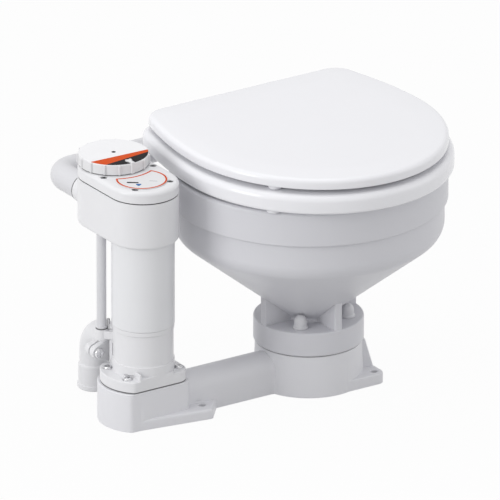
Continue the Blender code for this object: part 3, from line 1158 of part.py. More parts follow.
def mode_plate():
    """The label between the knob and the cover's round front."""
    x, y = about_pump((MODE_PLATE_SHIFT, 0))
    outer, inner = MODE_PLATE_RADIUS, KNOB_RADIUS + MODE_PLATE_KNOB_SPACE
    across = (HEAD_SPAN ** 2 + outer ** 2 - inner ** 2) / (2 * HEAD_SPAN)
    half = acos(across / outer)
    front = [pi / 2 + half + (2 * pi - 2 * half) * i / (2 * ARC_POINTS) for i in range(2 * ARC_POINTS + 1)]
    outline = [(x + outer * cos(a), y + outer * sin(a)) for a in front]
    back_half = asin(outer * sin(half) / inner)
    back = [back_half - 2 * back_half * i / ARC_POINTS for i in range(1, ARC_POINTS)]
    outline += [(x + inner * sin(a), y + HEAD_SPAN - inner * cos(a)) for a in back]
    low = COVER_TOP + GAP
    part("mode_plate", plate([outline], low, low + MODE_PLATE_THICKNESS), WHITE_GLOSS)


# Selector knob and spindle
def selector():
    knob = about_pump((0, HEAD_SPAN))
    turn = pivot("selector_axis", (*knob, COVER_TOP))
    edge = KNOB_EDGE
    skirt = KNOB_RADIUS - KNOB_SKIRT_WALL
    under = KNOB_TOP - KNOB_TOP_THICKNESS
    socket = SPINDLE_RADIUS + GAP
    boss = socket + KNOB_SKIRT_WALL / 2
    socket_top = KNOB_LOW + SPINDLE_GRIP + GAP
    profile = [(0, KNOB_TOP), (KNOB_RADIUS - edge, KNOB_TOP), (KNOB_RADIUS, KNOB_TOP - edge),
               (KNOB_RADIUS, KNOB_LOW), (skirt, KNOB_LOW), (skirt, under), (boss, under), (boss, KNOB_LOW),
               (socket, KNOB_LOW), (socket, socket_top), (0, socket_top)]
    body = turned(profile, BIG_STEPS, (*knob, 0))
    grooves = []
    for i in range(KNOB_GRIPS):
        groove = plain(block((KNOB_RADIUS - KNOB_GROOVE_DEPTH, -KNOB_GROOVE_WIDTH / 2, KNOB_LOW - OVERRUN),
                             (KNOB_RADIUS + OVERRUN, KNOB_GROOVE_WIDTH / 2, KNOB_TOP - KNOB_GROOVE_DEPTH)))
        groove.rotation_euler = (0, 0, 2 * pi * (i + 0.5) / KNOB_GRIPS)
        groove.location = (*knob, 0)
        grooves.append(groove)
    front = knob[1] - KNOB_RADIUS
    half = POINTER_WIDTH / 2
    arrow = [(knob[0] - half, front + POINTER_LENGTH / 3), (knob[0], front + edge),
             (knob[0] + half, front + POINTER_LENGTH / 3), (knob[0] + half / 2, front + POINTER_LENGTH / 3),
             (knob[0] + half / 2, front + POINTER_LENGTH), (knob[0] - half / 2, front + POINTER_LENGTH),
             (knob[0] - half / 2, front + POINTER_LENGTH / 3)]
    pointer = plate([arrow], KNOB_TOP - ROOT, KNOB_TOP + POINTER_RISE)
    body = combine(body, joins=[pointer], cuts=grooves)
    part("selector_knob", body, WHITE_GLOSS, (*knob, KNOB_LOW), turn)
    plug_low = HEAD_LOW + HEAD_FLOOR + TURN_GAP
    top = KNOB_LOW + SPINDLE_GRIP
    spindle = turned([(0, top), (SPINDLE_RADIUS, top), (SPINDLE_RADIUS, plug_low + PLUG_HEIGHT),
                      (PLUG_RADIUS, plug_low + PLUG_HEIGHT), (PLUG_RADIUS, plug_low), (0, plug_low)],
                     SMALL_STEPS, (*knob, 0))
    part("selector_spindle", plain(spindle), WHITE_SATIN, (*knob, plug_low), turn)


# Pipe from the head to the back of the bowl
def supply():
    start = KNOB_Y + HEAD_RADIUS + SOCKET_LENGTH + GAP
    end = -INLET_ELBOW_BEND - 2 * ROOT
    z = PIPE_HEIGHT
    corner = (PUMP_X, PIPE_Y, z)
    outer = tube(bent([(PUMP_X, start, z), corner, (end, PIPE_Y, z)], PIPE_BEND), PIPE_RADIUS, 4)
    way = [(PUMP_X, start - OVERRUN, z), corner, (end + OVERRUN, PIPE_Y, z)]
    inner = tube(bent(way, PIPE_BEND), PIPE_BORE_RADIUS, 3)
    part("supply_pipe", combine(outer, cuts=[inner]), WHITE_SATIN, (PUMP_X, start, z))

    wall = RIM_RADIUS
    collar = wall + INLET_SEAL_LENGTH
    elbow_start, corner, bend = end + GAP, (0, PIPE_Y, z), INLET_ELBOW_BEND / 2
    elbow = tube(bent([(elbow_start, PIPE_Y, z), corner, (0, collar, z)], bend), INLET_ELBOW_RADIUS, 4)
    spigot = rod_along_y(INLET_SPIGOT_RADIUS, RIM_CHANNEL_RADIUS, collar + ROOT, 0, z)
    elbow = combine(elbow, joins=[spigot])
    way = [(elbow_start - OVERRUN, PIPE_Y, z), corner, (0, RIM_CHANNEL_RADIUS - OVERRUN, z)]
    inner = tube(bent(way, bend), INLET_BORE_RADIUS, 3)
    part("inlet_elbow", combine(elbow, cuts=[inner]), WHITE_GLOSS, (0, PIPE_Y, z))
    thick = INLET_SEAL_THICKNESS
    inside, lip = INLET_SPIGOT_RADIUS + GAP, INLET_SPIGOT_RADIUS + 2 * thick
    length = collar - GAP - RIM_CHANNEL_RADIUS
    flange = collar - GAP - wall - GAP
    seal = turned([(lip, length), (lip, length - flange), (inside + thick - 2 * GAP, length - flange),
                   (inside + thick - 2 * GAP, 0), (inside, 0), (inside, length)], SMALL_STEPS,
                  (0, RIM_CHANNEL_RADIUS, z), True, (-pi / 2, 0, 0))
    part("inlet_seal", plain(seal), GREY_RUBBER, (0, wall, z))


# Seat ring, lid, bumpers and hinges
def lug_plate(x, circles, inset=0.0):
    """One straight piece of a hinge lug, as the hull of circles in the plane across X."""
    half = HINGE_LUG_WIDTH / 2 - inset
    return plate([hull(circles)], x - half, x + half, turn=(pi / 2, 0, pi / 2))


def seat_lug(x):
    root = SEAT_BACK_Y - LUG_ROOT
    eye = (HINGE_EYE_RADIUS, HINGE_Y, HINGE_Z)
    return [lug_plate(x, [eye, (ROOT, root, SEAT_LOW + 2 * ROOT), (ROOT, root, SEAT_TOP - 2 * ROOT)])]


def lid_lug(x):
    """Goes straight back over the seat, then down to the eye; the way back is a little the narrower."""
    root = LID_BACK_Y - LUG_ROOT
    low_root, high_root = (ROOT, root, LID_LOW + 2 * ROOT), (ROOT, root, LID_TOP - 2 * ROOT)
    eye = (HINGE_EYE_RADIUS, HINGE_Y, HINGE_Z)
    back = lug_plate(x, [(LID_KNEE_RADIUS, LID_KNEE_Y, LID_KNEE_Z), low_root, high_root], GAP)
    drop = lug_plate(x, [eye, (LID_KNEE_RADIUS + GAP, LID_KNEE_Y, LID_KNEE_Z)])
    return [back, drop]


def bumper(name, circle_radius, side, low, high, parent):
    """A rubber foot under the seat or the lid, with a stem pressed into it."""
    angle = BUMPER_ANGLE if side < 0 else pi - BUMPER_ANGLE
    at = (circle_radius * cos(angle), circle_radius * sin(angle))
    edge = BUMPER_STEM_RADIUS / 3
    profile = [(0, high + BUMPER_STEM_LENGTH), (BUMPER_STEM_RADIUS, high + BUMPER_STEM_LENGTH),
               (BUMPER_STEM_RADIUS, high - GAP), (BUMPER_RADIUS, high - GAP), (BUMPER_RADIUS, low + edge),
               (BUMPER_RADIUS - edge, low), (0, low)]
    part(name, plain(turned(profile, TINY_STEPS, (*at, 0))), WHITE_SATIN, (*at, low), parent)
    return disc(BUMPER_STEM_RADIUS + GAP, high - OVERRUN, high + BUMPER_STEM_LENGTH + GAP, at, TINY_STEPS)


def seat_hole():
    """Two half ellipses, the front one longer than the back one."""
    outline = []
    for i in range(HOLE_POINTS):
        a = 2 * pi * i / HOLE_POINTS
        reach = SEAT_HOLE_BACK if a < pi else SEAT_HOLE_FRONT
        outline.append((SEAT_HOLE_HALF_WIDTH * cos(a), SEAT_CENTRE_Y + reach * sin(a)))
    return outline


def seat_and_lid():
    axis = (0, HINGE_Y, HINGE_Z)
    seat_axis = pivot("seat_hinge_axis", axis)
    lid_axis = pivot("lid_hinge_axis", axis, seat_axis)
    rod_hole = rod_along_x(HINGE_ROD_RADIUS + TURN_GAP, -2 * HINGE_X, 2 * HINGE_X, HINGE_Y, HINGE_Z)
    hinge_step = (HINGE_POST_WIDTH + HINGE_LUG_WIDTH) / 2 + TURN_GAP

    plan = (SEAT_HALF_WIDTH, SEAT_FRONT_REACH, SEAT_CENTRE_Y, SEAT_BACK_HALF_WIDTH, SEAT_BACK_Y, SEAT_CORNER)
    seat = plate([seat_plan(*plan), seat_hole()], SEAT_LOW, SEAT_TOP, SEAT_EDGE)
    outer_lugs = [piece for side in (-1, 1) for piece in seat_lug(side * (HINGE_X + hinge_step))]
    stems = [bumper(f"seat_bumper_{number}", SEAT_BUMPER_CIRCLE, side, RIM_TOP + GAP, SEAT_LOW, seat_axis)
             for number, side in enumerate((-1, 1), 1)]
    seat = combine(seat, joins=outer_lugs, cuts=[rod_hole, *stems])
    part("seat_ring", seat, WHITE_GLOSS, axis, seat_axis)

    plan = (LID_HALF_WIDTH, LID_FRONT_REACH, LID_CENTRE_Y, LID_BACK_HALF_WIDTH, LID_BACK_Y, LID_CORNER)
    lid = plate([seat_plan(*plan)], LID_LOW, LID_TOP, LID_EDGE)
    recess = plate([seat_plan(*plan, LID_RECESS_BORDER + BUMPER_RADIUS)], LID_LOW - OVERRUN,
                   LID_LOW + LID_RECESS_DEPTH)
    inner_lugs = [piece for side in (-1, 1) for piece in lid_lug(side * (HINGE_X - hinge_step))]
    stems = [bumper(f"lid_bumper_{number}", LID_BUMPER_CIRCLE, side, SEAT_TOP + GAP, LID_LOW, lid_axis)
             for number, side in enumerate((-1, 1), 1)]
    lid = combine(combine(lid, cuts=[recess]), joins=inner_lugs, cuts=[rod_hole, *stems])
    part("lid", lid, WHITE_GLOSS, axis, lid_axis)


def hinges():
    half = HINGE_POST_WIDTH / 2
    reach = HINGE_X + half + HINGE_LUG_WIDTH + 2 * TURN_GAP
    rod = rod_along_x(HINGE_ROD_RADIUS, -reach, reach, HINGE_Y, HINGE_Z)
    part("hinge_rod", plain(rod), STEEL, (0, HINGE_Y, HINGE_Z))
    low = DECK_TOP + GAP
    for number, side in enumerate((-1, 1), 1):
        x = side * HINGE_X
        eye = rod_along_x(HINGE_EYE_RADIUS, x - half, x + half, HINGE_Y, HINGE_Z)
        bolt_foot = DECK_TOP - DECK_THICKNESS - HINGE_BOLT_LENGTH
        foot_top = low + HINGE_FOOT_HEIGHT
        stem = turned([(0, HINGE_Z), (HINGE_NECK_RADIUS, HINGE_Z), (HINGE_NECK_RADIUS, foot_top),
                       (HINGE_FOOT_RADIUS, foot_top - HINGE_FOOT_HEIGHT / 2), (HINGE_FOOT_RADIUS, low),
                       (HINGE_BOLT_RADIUS, low), (HINGE_BOLT_RADIUS, bolt_foot), (0, bolt_foot)],
                      SMALL_STEPS, (x, HINGE_Y, 0))
        hole = rod_along_x(HINGE_ROD_RADIUS + GAP, x - half - OVERRUN, x + half + OVERRUN, HINGE_Y, HINGE_Z)
        post = combine(stem, joins=[eye], cuts=[hole])
        part(f"hinge_post_{number}", post, WHITE_GLOSS, (x, HINGE_Y, DECK_TOP))
        nut_top = DECK_TOP - DECK_THICKNESS - GAP
        nut_foot = nut_top - HINGE_NUT_HEIGHT
        nut = disc(HINGE_NUT_RADIUS, nut_foot, nut_top, (x, HINGE_Y), 6)
        thread = disc(HINGE_BOLT_RADIUS + GAP, nut_foot - OVERRUN, nut_top + OVERRUN, (x, HINGE_Y))
        part(f"hinge_nut_{number}", combine(nut, cuts=[thread]), WHITE_SATIN, (x, HINGE_Y, nut_top))


base_casting()
bowl()
bowl_fixings()
macerator_housing()
pump_fixings()
discharge()
motor_column()
rotor()
feed_tube()
head_housing()
head_cover()
mode_plate()
selector()
supply()
seat_and_lid()
hinges()
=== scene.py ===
from math import acos, asin, atan2, cos, hypot, pi, radians, sin, sqrt, tan

import bmesh
import bpy
from mathutils import Euler, Matrix, Vector
from mathutils.geometry import convex_hull_2d


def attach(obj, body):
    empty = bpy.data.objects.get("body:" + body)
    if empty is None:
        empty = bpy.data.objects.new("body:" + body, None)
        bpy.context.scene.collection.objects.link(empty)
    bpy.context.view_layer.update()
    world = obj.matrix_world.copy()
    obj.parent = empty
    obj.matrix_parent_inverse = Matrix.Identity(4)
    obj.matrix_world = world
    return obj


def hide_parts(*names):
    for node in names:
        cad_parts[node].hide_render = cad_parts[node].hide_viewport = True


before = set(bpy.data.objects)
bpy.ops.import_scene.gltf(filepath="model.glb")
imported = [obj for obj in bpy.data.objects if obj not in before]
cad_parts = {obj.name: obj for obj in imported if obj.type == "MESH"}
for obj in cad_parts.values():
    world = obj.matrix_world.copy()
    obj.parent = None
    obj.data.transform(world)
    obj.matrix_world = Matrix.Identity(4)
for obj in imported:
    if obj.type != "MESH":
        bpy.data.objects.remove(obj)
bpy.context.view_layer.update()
scene = bpy.context.scene
print("frame loaded:", len(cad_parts), "nodes")

# Lengths in metres, +Z up, front of the seat at -Y, pump at -X
shared = {
    "gap": 0.0003,
    "reach": 0.003,        # how far a joined shape runs into its neighbour
    "over": 0.004,         # how far a cutter runs past what it cuts
    "pumpX": -0.2420,
    "pumpY": 0.0070,
    "headSpan": 0.0670,    # pump axis to knob axis
    "ringSides": 144,
    "smallSides": 48,
}
gap, reach, over, pumpX, pumpY, headSpan, ringSides, smallSides = shared.values()
knobY = pumpY + headSpan
upright = Matrix.Rotation(pi / 2, 4, "X")              # stands a plan up, to face the front
acrossX = Matrix.Rotation(pi / 2, 4, "Z") @ upright    # stands a plan up, to face the side


# Materials: each is worked out on Object coordinates, with its detail at real scale
finishKeys = ("colour", "drift", "patch", "roughness", "bump", "grain", "coat", "specular")
finishes = {
    # colour and the colour it drifts to, patch size, roughness range, height of the surface texture and its
    # size, coat, specular level where it isn't the usual one
    "castWhite": ((0.775, 0.775, 0.805), (0.75, 0.75, 0.78), 0.060, (0.36, 0.46), 0.00006, 0.0016, 0.05),
    "ceramicWhite": ((0.69, 0.69, 0.725), (0.67, 0.67, 0.705), 0.12, (0.32, 0.4), 0.00005, 0.011, 0.03, 0.15),
    "housingWhite": ((0.785, 0.785, 0.805), (0.76, 0.76, 0.78), 0.045, (0.28, 0.36), 0.00002, 0.0014, 0.08),
    "casingWhite": ((0.79, 0.795, 0.815), (0.765, 0.77, 0.79), 0.050, (0.30, 0.38), 0.00002, 0.0012, 0.08),
    "seatWhite": ((0.855, 0.855, 0.885), (0.84, 0.84, 0.87), 0.110, (0.20, 0.26), 0.00003, 0.0040, 0.20),
    "knobWhite": ((0.755, 0.755, 0.77), (0.735, 0.735, 0.75), 0.030, (0.28, 0.36), 0.00002, 0.0010, 0.08),
    "pipeWhite": ((0.685, 0.685, 0.71), (0.66, 0.66, 0.685), 0.040, (0.30, 0.40), 0.00003, 0.0018, 0.05),
    "blackRubber": ((0.030, 0.030, 0.032), (0.045, 0.045, 0.047), 0.010, (0.62, 0.80), 0.00005, 0.0006, 0.0),
    "darkRubber": ((0.16, 0.16, 0.165), (0.20, 0.20, 0.205), 0.010, (0.60, 0.78), 0.00005, 0.0006, 0.0),
    "greyRubber": ((0.38, 0.38, 0.39), (0.43, 0.43, 0.44), 0.010, (0.60, 0.78), 0.00005, 0.0006, 0.0),
    "ferriteBlack": ((0.055, 0.055, 0.060), (0.085, 0.085, 0.090), 0.004, (0.55, 0.75), 0.00006, 0.0005, 0.0),
}
metalKeys = ("colour", "marks", "roughness", "bump", "stretch", "grain")
metals = {
    # colour, colour of the marks, roughness range, height of the brush marks, stretch along Z, size of a mark
    "stainless": ((0.60, 0.60, 0.61), (0.50, 0.50, 0.51), (0.22, 0.38), 0.00002, 0.08, 0.0006),
    "zincPlate": ((0.86, 0.86, 0.87), (0.70, 0.70, 0.72), (0.16, 0.30), 0.00002, 1.0, 0.0008),
    # the next steel is painted darker: painted shade standing in for the shade in the cover screws' recesses
    "recessShadedSteel": ((0.26, 0.26, 0.27), (0.16, 0.16, 0.17), (0.24, 0.40), 0.00002, 1.0, 0.0005),
    "yokeIron": ((0.20, 0.20, 0.21), (0.14, 0.14, 0.145), (0.45, 0.65), 0.00004, 1.0, 0.0012),
    "windingCopper": ((0.62, 0.28, 0.14), (0.45, 0.18, 0.08), (0.30, 0.48), 0.00020, 6.0, 0.0009),
}
inks = {
    "inkOrange": (0.64, 0.078, 0.008),
    "inkBlack": (0.014, 0.012, 0.014),
    "inkBlue": (0.045, 0.16, 0.42),
    "inkGrey": (0.45, 0.46, 0.48),
}


# Gives a node's inputs values or links, each named by its label or by its number after an underscore
def feed(node, **inputs):
    for key, value in inputs.items():
        socket = node.inputs[int(key[1:])] if key[1:].isdigit() else node.inputs[key.replace("_", " ")]
        if isinstance(value, bpy.types.NodeSocket):
            node.id_data.links.new(value, socket)
        else:
            socket.default_value = value
    return node


def nodeAdder(tree):
    def add(kind, settings=None, **inputs):
        node = tree.nodes.new(kind)
        for key, value in (settings or {}).items():
            setattr(node, key, value)
        return feed(node, **inputs)
    return add


def surfaceStart(name):
    made = bpy.data.materials.new(name)
    made.use_nodes = True
    return made, made.node_tree.nodes["Principled BSDF"], nodeAdder(made.node_tree)


def objectPlace(add):
    return add("ShaderNodeTexCoord").outputs["Object"]


def noise(add, place, scale, detail, roughness=0.5):
    made = add("ShaderNodeTexNoise", Vector=place, Scale=scale, Detail=detail, Roughness=roughness)
    return made.outputs["Fac"]


# A blend of two colours, each a colour or another node's output
def blend(add, share, *colours):
    first, second = [c if isinstance(c, bpy.types.NodeSocket) else (*c, 1.0) for c in colours]
    return add("ShaderNodeMix", {"data_type": "RGBA"}, Factor=share, _6=first, _7=second).outputs[2]


# Takes the middle of a noise to a range of roughness
def glossRange(add, share, low, high):
    return add("ShaderNodeMapRange", _0=share, _1=0.3, _2=0.7, _3=low, _4=high).outputs[0]


def bumped(add, height, distance, strength):
    return add("ShaderNodeBump", Height=height, Distance=distance * 4, Strength=strength).outputs[0]


# Moulded or glazed surface: slow drift of colour and gloss, and a fine skin texture
def plasticFinish(name, s):
    made, shader, add = surfaceStart(name)
    place = objectPlace(add)
    patches = noise(add, place, 1 / s["patch"], 3.0, 0.55)
    cloud = noise(add, place, 3.1 / s["patch"], 4.0, 0.6)
    skin = noise(add, place, 1 / s["grain"], 2.0)
    feed(shader, Base_Color=blend(add, patches, s["colour"], s["drift"]),
         Roughness=glossRange(add, cloud, *s["roughness"]), Normal=bumped(add, skin, s["bump"], 0.12),
         Coat_Weight=s["coat"], Coat_Roughness=0.12, Specular_IOR_Level=s.get("specular", 0.35))
    return made


# Machined metal: fine marks drawn out in one direction
def metalFinish(name, s):
    made, shader, add = surfaceStart(name)
    drawn = add("ShaderNodeMapping", Vector=objectPlace(add), Scale=(1, 1, s["stretch"])).outputs[0]
    marks = noise(add, drawn, 1 / s["grain"], 3.0, 0.6)
    feed(shader, Base_Color=blend(add, marks, s["colour"], s["marks"]), Metallic=1.0,
         Roughness=glossRange(add, marks, *s["roughness"]), Normal=bumped(add, marks, s["bump"], 0.3))
    return made


# Printed ink: one colour with a faint screen-print unevenness
def flatPaint(name, colour):
    made, shader, add = surfaceStart(name)
    uneven = noise(add, objectPlace(add), 900.0, 2.0)
    feed(shader, Base_Color=blend(add, uneven, colour, [channel * 0.88 for channel in colour]),
         Roughness=0.5, Specular_IOR_Level=0.08)
    return made


look = {name: plasticFinish(name, dict(zip(finishKeys, row))) for name, row in finishes.items()}
look.update({name: metalFinish(name, dict(zip(metalKeys, row))) for name, row in metals.items()})
look.update({name: flatPaint(name, colour) for name, colour in inks.items()})
print("materials made:", len(look))


# Lines and plans

# Points on a circle from one angle to another
def arc(radius, start, end, steps, x=0.0, y=0.0):
    angles = [start + (end - start) * i / steps for i in range(steps + 1)]
    return [(x + radius * cos(a), y + radius * sin(a)) for a in angles]


def circle(radius, sides, x=0.0, y=0.0):
    return arc(radius, 0, 2 * pi, sides, x, y)[:-1]


def quarterTurn(steps):
    return [pi / 2 * i / steps for i in range(steps + 1)]


# Points of a true arc in place of a corner
def cornerArc(before, corner, after, radius, steps):
    corner = Vector(corner)
    back, ahead = Vector(before) - corner, Vector(after) - corner
    half = back.angle(ahead) / 2
    if radius <= 0 or half > radians(89.5):
        return [corner]
    length = min(radius / tan(half), back.length * 0.49, ahead.length * 0.49)
    radius = length * tan(half)
    middle = corner + (back.normalized() + ahead.normalized()).normalized() * radius / sin(half)
    start = corner + back.normalized() * length - middle
    end = corner + ahead.normalized() * length - middle
    sweep = start.angle(end)
    square = (end - start * cos(sweep)) / sin(sweep)
    turns = [sweep * i / steps for i in range(steps + 1)]
    return [middle + start * cos(t) + square * sin(t) for t in turns]


# Rounds a line's corners, each given as (x, y) or (x, y, radius)
def softened(corners, closed=False, steps=6):
    count = len(corners)
    line = []
    for i, corner in enumerate(corners):
        inside = closed or 0 < i < count - 1
        if inside and len(corner) > 2 and corner[2]:
            before, after = corners[i - 1][:2], corners[(i + 1) % count][:2]
            line += [tuple(point) for point in cornerArc(before, corner[:2], after, corner[2], steps)]
        else:
            line.append(tuple(corner[:2]))
    return line


# Moves a closed line inwards, each point along the mean of its two sides' normals
def insetLine(outline, distance):
    if not distance:
        return outline
    area = sum(a[0] * b[1] - b[0] * a[1] for a, b in zip(outline, outline[1:] + outline[:1]))
    sign = 1 if area > 0 else -1
    moved = []
    for i, point in enumerate(outline):
        here = Vector(point)
        before = (here - Vector(outline[i - 1])).normalized()
        after = (Vector(outline[(i + 1) % len(outline)]) - here).normalized()
        normal = Vector((-before.y - after.y, before.x + after.x)) * sign
        normal.normalize()
        stretch = max(0.5, normal.dot(Vector((-before.y, before.x)) * sign))
        moved.append(tuple(here + normal * distance / stretch))
    return moved


# The same closed line with points at equal steps
def evenly(outline, count):
    loop = [Vector(point) for point in outline] + [Vector(outline[0])]
    lengths = [0.0]
    for a, b in zip(loop, loop[1:]):
        lengths.append(lengths[-1] + (b - a).length)
    spaced, at = [], 0
    for i in range(count):
        wanted = lengths[-1] * i / count
        while lengths[at + 1] < wanted:
            at += 1
        part = (wanted - lengths[at]) / (lengths[at + 1] - lengths[at])
        spaced.append(tuple(loop[at].lerp(loop[at + 1], part)))
    return spaced


# Hull of circles, each given as (radius, x, y)
def hullPlan(circles, sides, count):
    points = [point for radius, x, y in circles for point in circle(radius, sides, x, y)]
    return evenly([points[i] for i in convex_hull_2d(points)], count)


# Round about the pump axis on the left, flat in front and behind, straight on the right
def pumpPlan(arcRadius, halfDepth, side, corner):
    lean, blended, spare = asin(halfDepth / arcRadius), 0.0080, 5
    shoulder = -arcRadius * cos(lean)
    left = arc(arcRadius, pi - lean, pi + lean, 60)[spare:-spare]
    outline = softened([(shoulder, halfDepth, blended), *left, (shoulder, -halfDepth, blended),
                        (side, -halfDepth, corner), (side, halfDepth, corner)], closed=True, steps=12)
    return evenly([(pumpX + x, pumpY + y) for x, y in outline], 160)


# Two half circles joined by straight sides along Y: one about the pump, one about the knob
def twoEnds(radius):
    return arc(radius, 0, pi, 48, pumpX, knobY) + arc(radius, pi, 2 * pi, 48, pumpX, pumpY)


# Half an ellipse in front, sides that draw in to the back, a straight back with round corners
def seatPlan(plan, inset=0.0):
    half, front, backHalf = [plan[key] - inset for key in ("halfWidth", "frontReach", "backHalfWidth")]
    backY, corner = plan["backY"] - inset, max(plan["corner"] - inset, plan["corner"] / 4)
    start, centre = Vector((half, plan["centreY"])), Vector((backHalf - corner, backY - corner))
    third = (centre.y - start.y) / 3
    first = start + Vector((0, 1.2 * third))
    lean = atan2(start.x - backHalf, centre.y - first.y)
    end = centre + corner * Vector((cos(lean), sin(lean)))
    second = end + third * Vector((sin(lean), -cos(lean)))
    side = [(half * sin(t), plan["centreY"] - front * cos(t)) for t in quarterTurn(64)[:-1]]
    for t in [i / 24 for i in range(24)]:
        side.append(tuple(start * (1 - t) ** 3 + first * 3 * t * (1 - t) ** 2
                          + second * 3 * t ** 2 * (1 - t) + end * t ** 3))
    side += arc(corner, lean, pi / 2, 12, centre.x, centre.y)
    return side + [(-x, y) for x, y in reversed(side) if x > 1e-4]


# Shapes

def showMesh(name, mesh, material=None):
    piece = bpy.data.objects.new(name, mesh)
    scene.collection.objects.link(piece)
    if material:
        mesh.materials.append(look[material])
    return piece


# A closed mesh from points and faces, with doubles merged and faces turned outwards
def solid(name, points, faces, material=None):
    mesh = bpy.data.meshes.new(name)
    mesh.from_pydata([tuple(point) for point in points], [], faces)
    work = bmesh.new()
    work.from_mesh(mesh)
    bmesh.ops.remove_doubles(work, verts=work.verts, dist=1e-7)
    bmesh.ops.recalc_face_normals(work, faces=work.faces)
    work.to_mesh(mesh)
    work.free()
    return showMesh(name, mesh, material)


# Turns a line of corners, as (radius, height) or with a rounding, about Z; a closed line makes a ring
def turned(name, corners, material=None, at=(0, 0, 0), closed=False, sides=ringSides, turn=(0, 0, 0),
           steps=3):
    points, rows, faces = [], [], []
    for radius, height in softened(corners, closed, steps):
        onAxis = radius < 1e-7
        rows.append([len(points)] * sides if onAxis else list(range(len(points), len(points) + sides)))
        points += [Vector((x, y, height)) for x, y in ([(0, 0)] if onAxis else circle(radius, sides))]
    for upper, lower in zip(rows, rows[1:] + rows[:1] if closed else rows[1:]):
        for i in range(sides):
            j = (i + 1) % sides
            face = list(dict.fromkeys([upper[i], upper[j], lower[j], lower[i]]))
            if len(face) > 2:
                faces.append(face)
    placing = Matrix.Translation(at) @ Euler(turn).to_matrix().to_4x4()
    return solid(name, [placing @ point for point in points], faces, material)


# A band about Z between two radii and two heights, with its outer edges rounded
def band(name, outer, inner, low, high, edge, material, **more):
    corners = [(outer, high, edge), (outer, low, edge), (inner, low), (inner, high)]
    return turned(name, corners, material, closed=True, **more)


# Stacks outlines, each given as (inset, height), and closes the first and last
# The outline is a line, or a function that gives one for an inset
def slab(name, outline, layers, material=None, placing=Matrix.Identity(4)):
    rows = [outline(inset) if callable(outline) else insetLine(outline, inset) for inset, _ in layers]
    points = [placing @ Vector((x, y, layer[1])) for row, layer in zip(rows, layers) for x, y in row]
    count = len(rows[0])
    faces = [list(range(count)), list(range(len(points) - count, len(points)))]
    for low in range(0, len(points) - count, count):
        for i in range(count):
            j = (i + 1) % count
            faces.append([low + i, low + j, low + count + j, low + count + i])
    return solid(name, points, faces, material)


# Layers of a slab between two heights, with its lower and upper edges rounded
def roundedLayers(low, high, lowRound=0.0, highRound=0.0, steps=5):
    layers = [(lowRound * (1 - sin(a)), low + lowRound * (1 - cos(a)))
              for a in quarterTurn(steps) if lowRound]
    layers = layers or [(0, low)]
    upper = [(highRound * (1 - cos(a)), high - highRound * (1 - sin(a)))
             for a in quarterTurn(steps) if highRound]
    return layers + (upper or [(0, high)])


# A flat ring whose section is a closed line of (outline, inset, height)
def ringSlab(name, section, material):
    rows = [outlineAt(inset) for outlineAt, inset, _ in section]
    points = [Vector((x, y, line[2])) for row, line in zip(rows, section) for x, y in row]
    count, faces = len(rows[0]), []
    for row in range(len(rows)):
        a, b = row * count, (row + 1) % len(rows) * count
        faces += [[a + i, a + (i + 1) % count, b + (i + 1) % count, b + i] for i in range(count)]
    return solid(name, points, faces, material)


# A block with its edges rounded
def box(name, low, high, edge=0.0, material=None, placing=None):
    mesh = bpy.data.meshes.new(name)
    work = bmesh.new()
    bmesh.ops.create_cube(work, size=1)
    size, middle = Vector(high) - Vector(low), (Vector(high) + Vector(low)) / 2
    for point in work.verts:
        point.co = Vector([point.co[i] * size[i] + middle[i] for i in range(3)])
    if edge:
        bmesh.ops.bevel(work, geom=work.edges, offset=edge, segments=3, profile=0.5, affect="EDGES",
                        clamp_overlap=True)
    if placing:
        work.transform(placing)
    work.to_mesh(mesh)
    work.free()
    return showMesh(name, mesh, material)


# A round bar between two points, with softened ends
def rod(name, radius, start, end, material=None, edge=0.0, sides=smallSides):
    along = Vector(end) - Vector(start)
    corners = [(0, along.length), (radius, along.length, edge), (radius, 0, edge), (0, 0)]
    turn = along.to_track_quat("Z", "Y").to_euler()
    return turned(name, corners, material, at=start, sides=sides, turn=turn)


# Cutter for a hole about Z, wider at its mouth by the chamfer
def sink(x, y, top, low, radius, chamfer, sides):
    return turned("sink", [(0, top + over), (radius + over + chamfer, top + over), (radius + chamfer, top),
                           (radius, top - chamfer), (radius, low), (0, low)], at=(x, y, 0), sides=sides)


# Bakes a piece's modifiers into a plain mesh at the origin
def asMesh(piece):
    bpy.context.view_layer.update()
    graph = bpy.context.evaluated_depsgraph_get()
    mesh = bpy.data.meshes.new_from_object(piece.evaluated_get(graph))
    mesh.transform(piece.matrix_world)
    piece.modifiers.clear()
    piece.data = mesh
    piece.matrix_world = Matrix.Identity(4)
    return piece


# Joins pieces to the first and cuts others from it; the first one's material covers the whole
def fuse(piece, joins=(), cuts=()):
    for operation, others in (("UNION", joins), ("DIFFERENCE", cuts)):
        for other in others:
            step = piece.modifiers.new(operation, "BOOLEAN")
            step.operation, step.solver, step.object = operation, "EXACT", other
    materials = list(piece.data.materials)[:1]
    asMesh(piece)
    piece.data.materials.clear()
    for material in materials:
        piece.data.materials.append(material)
    for polygon in piece.data.polygons:
        polygon.material_index = 0
    for other in (*joins, *cuts):
        bpy.data.objects.remove(other)
    return piece


# Shades a piece, lets it ride on its body and stand for its CAD nodes
def finished(piece, body, *nodes, angle=35, slot=None):
    piece.data.shade_smooth()
    piece.data.set_sharp_from_angle(angle=radians(angle))
    weighted = piece.modifiers.new("evenShading", "WEIGHTED_NORMAL")
    weighted.keep_sharp = True
    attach(piece, body)
    if nodes:
        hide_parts(*nodes)
    return piece


def numbered(name, count):
    return [f"{name}_{i}" for i in range(1, count + 1)]


# Geometry Nodes: a pipe along a path, copies at places, copies round an axis

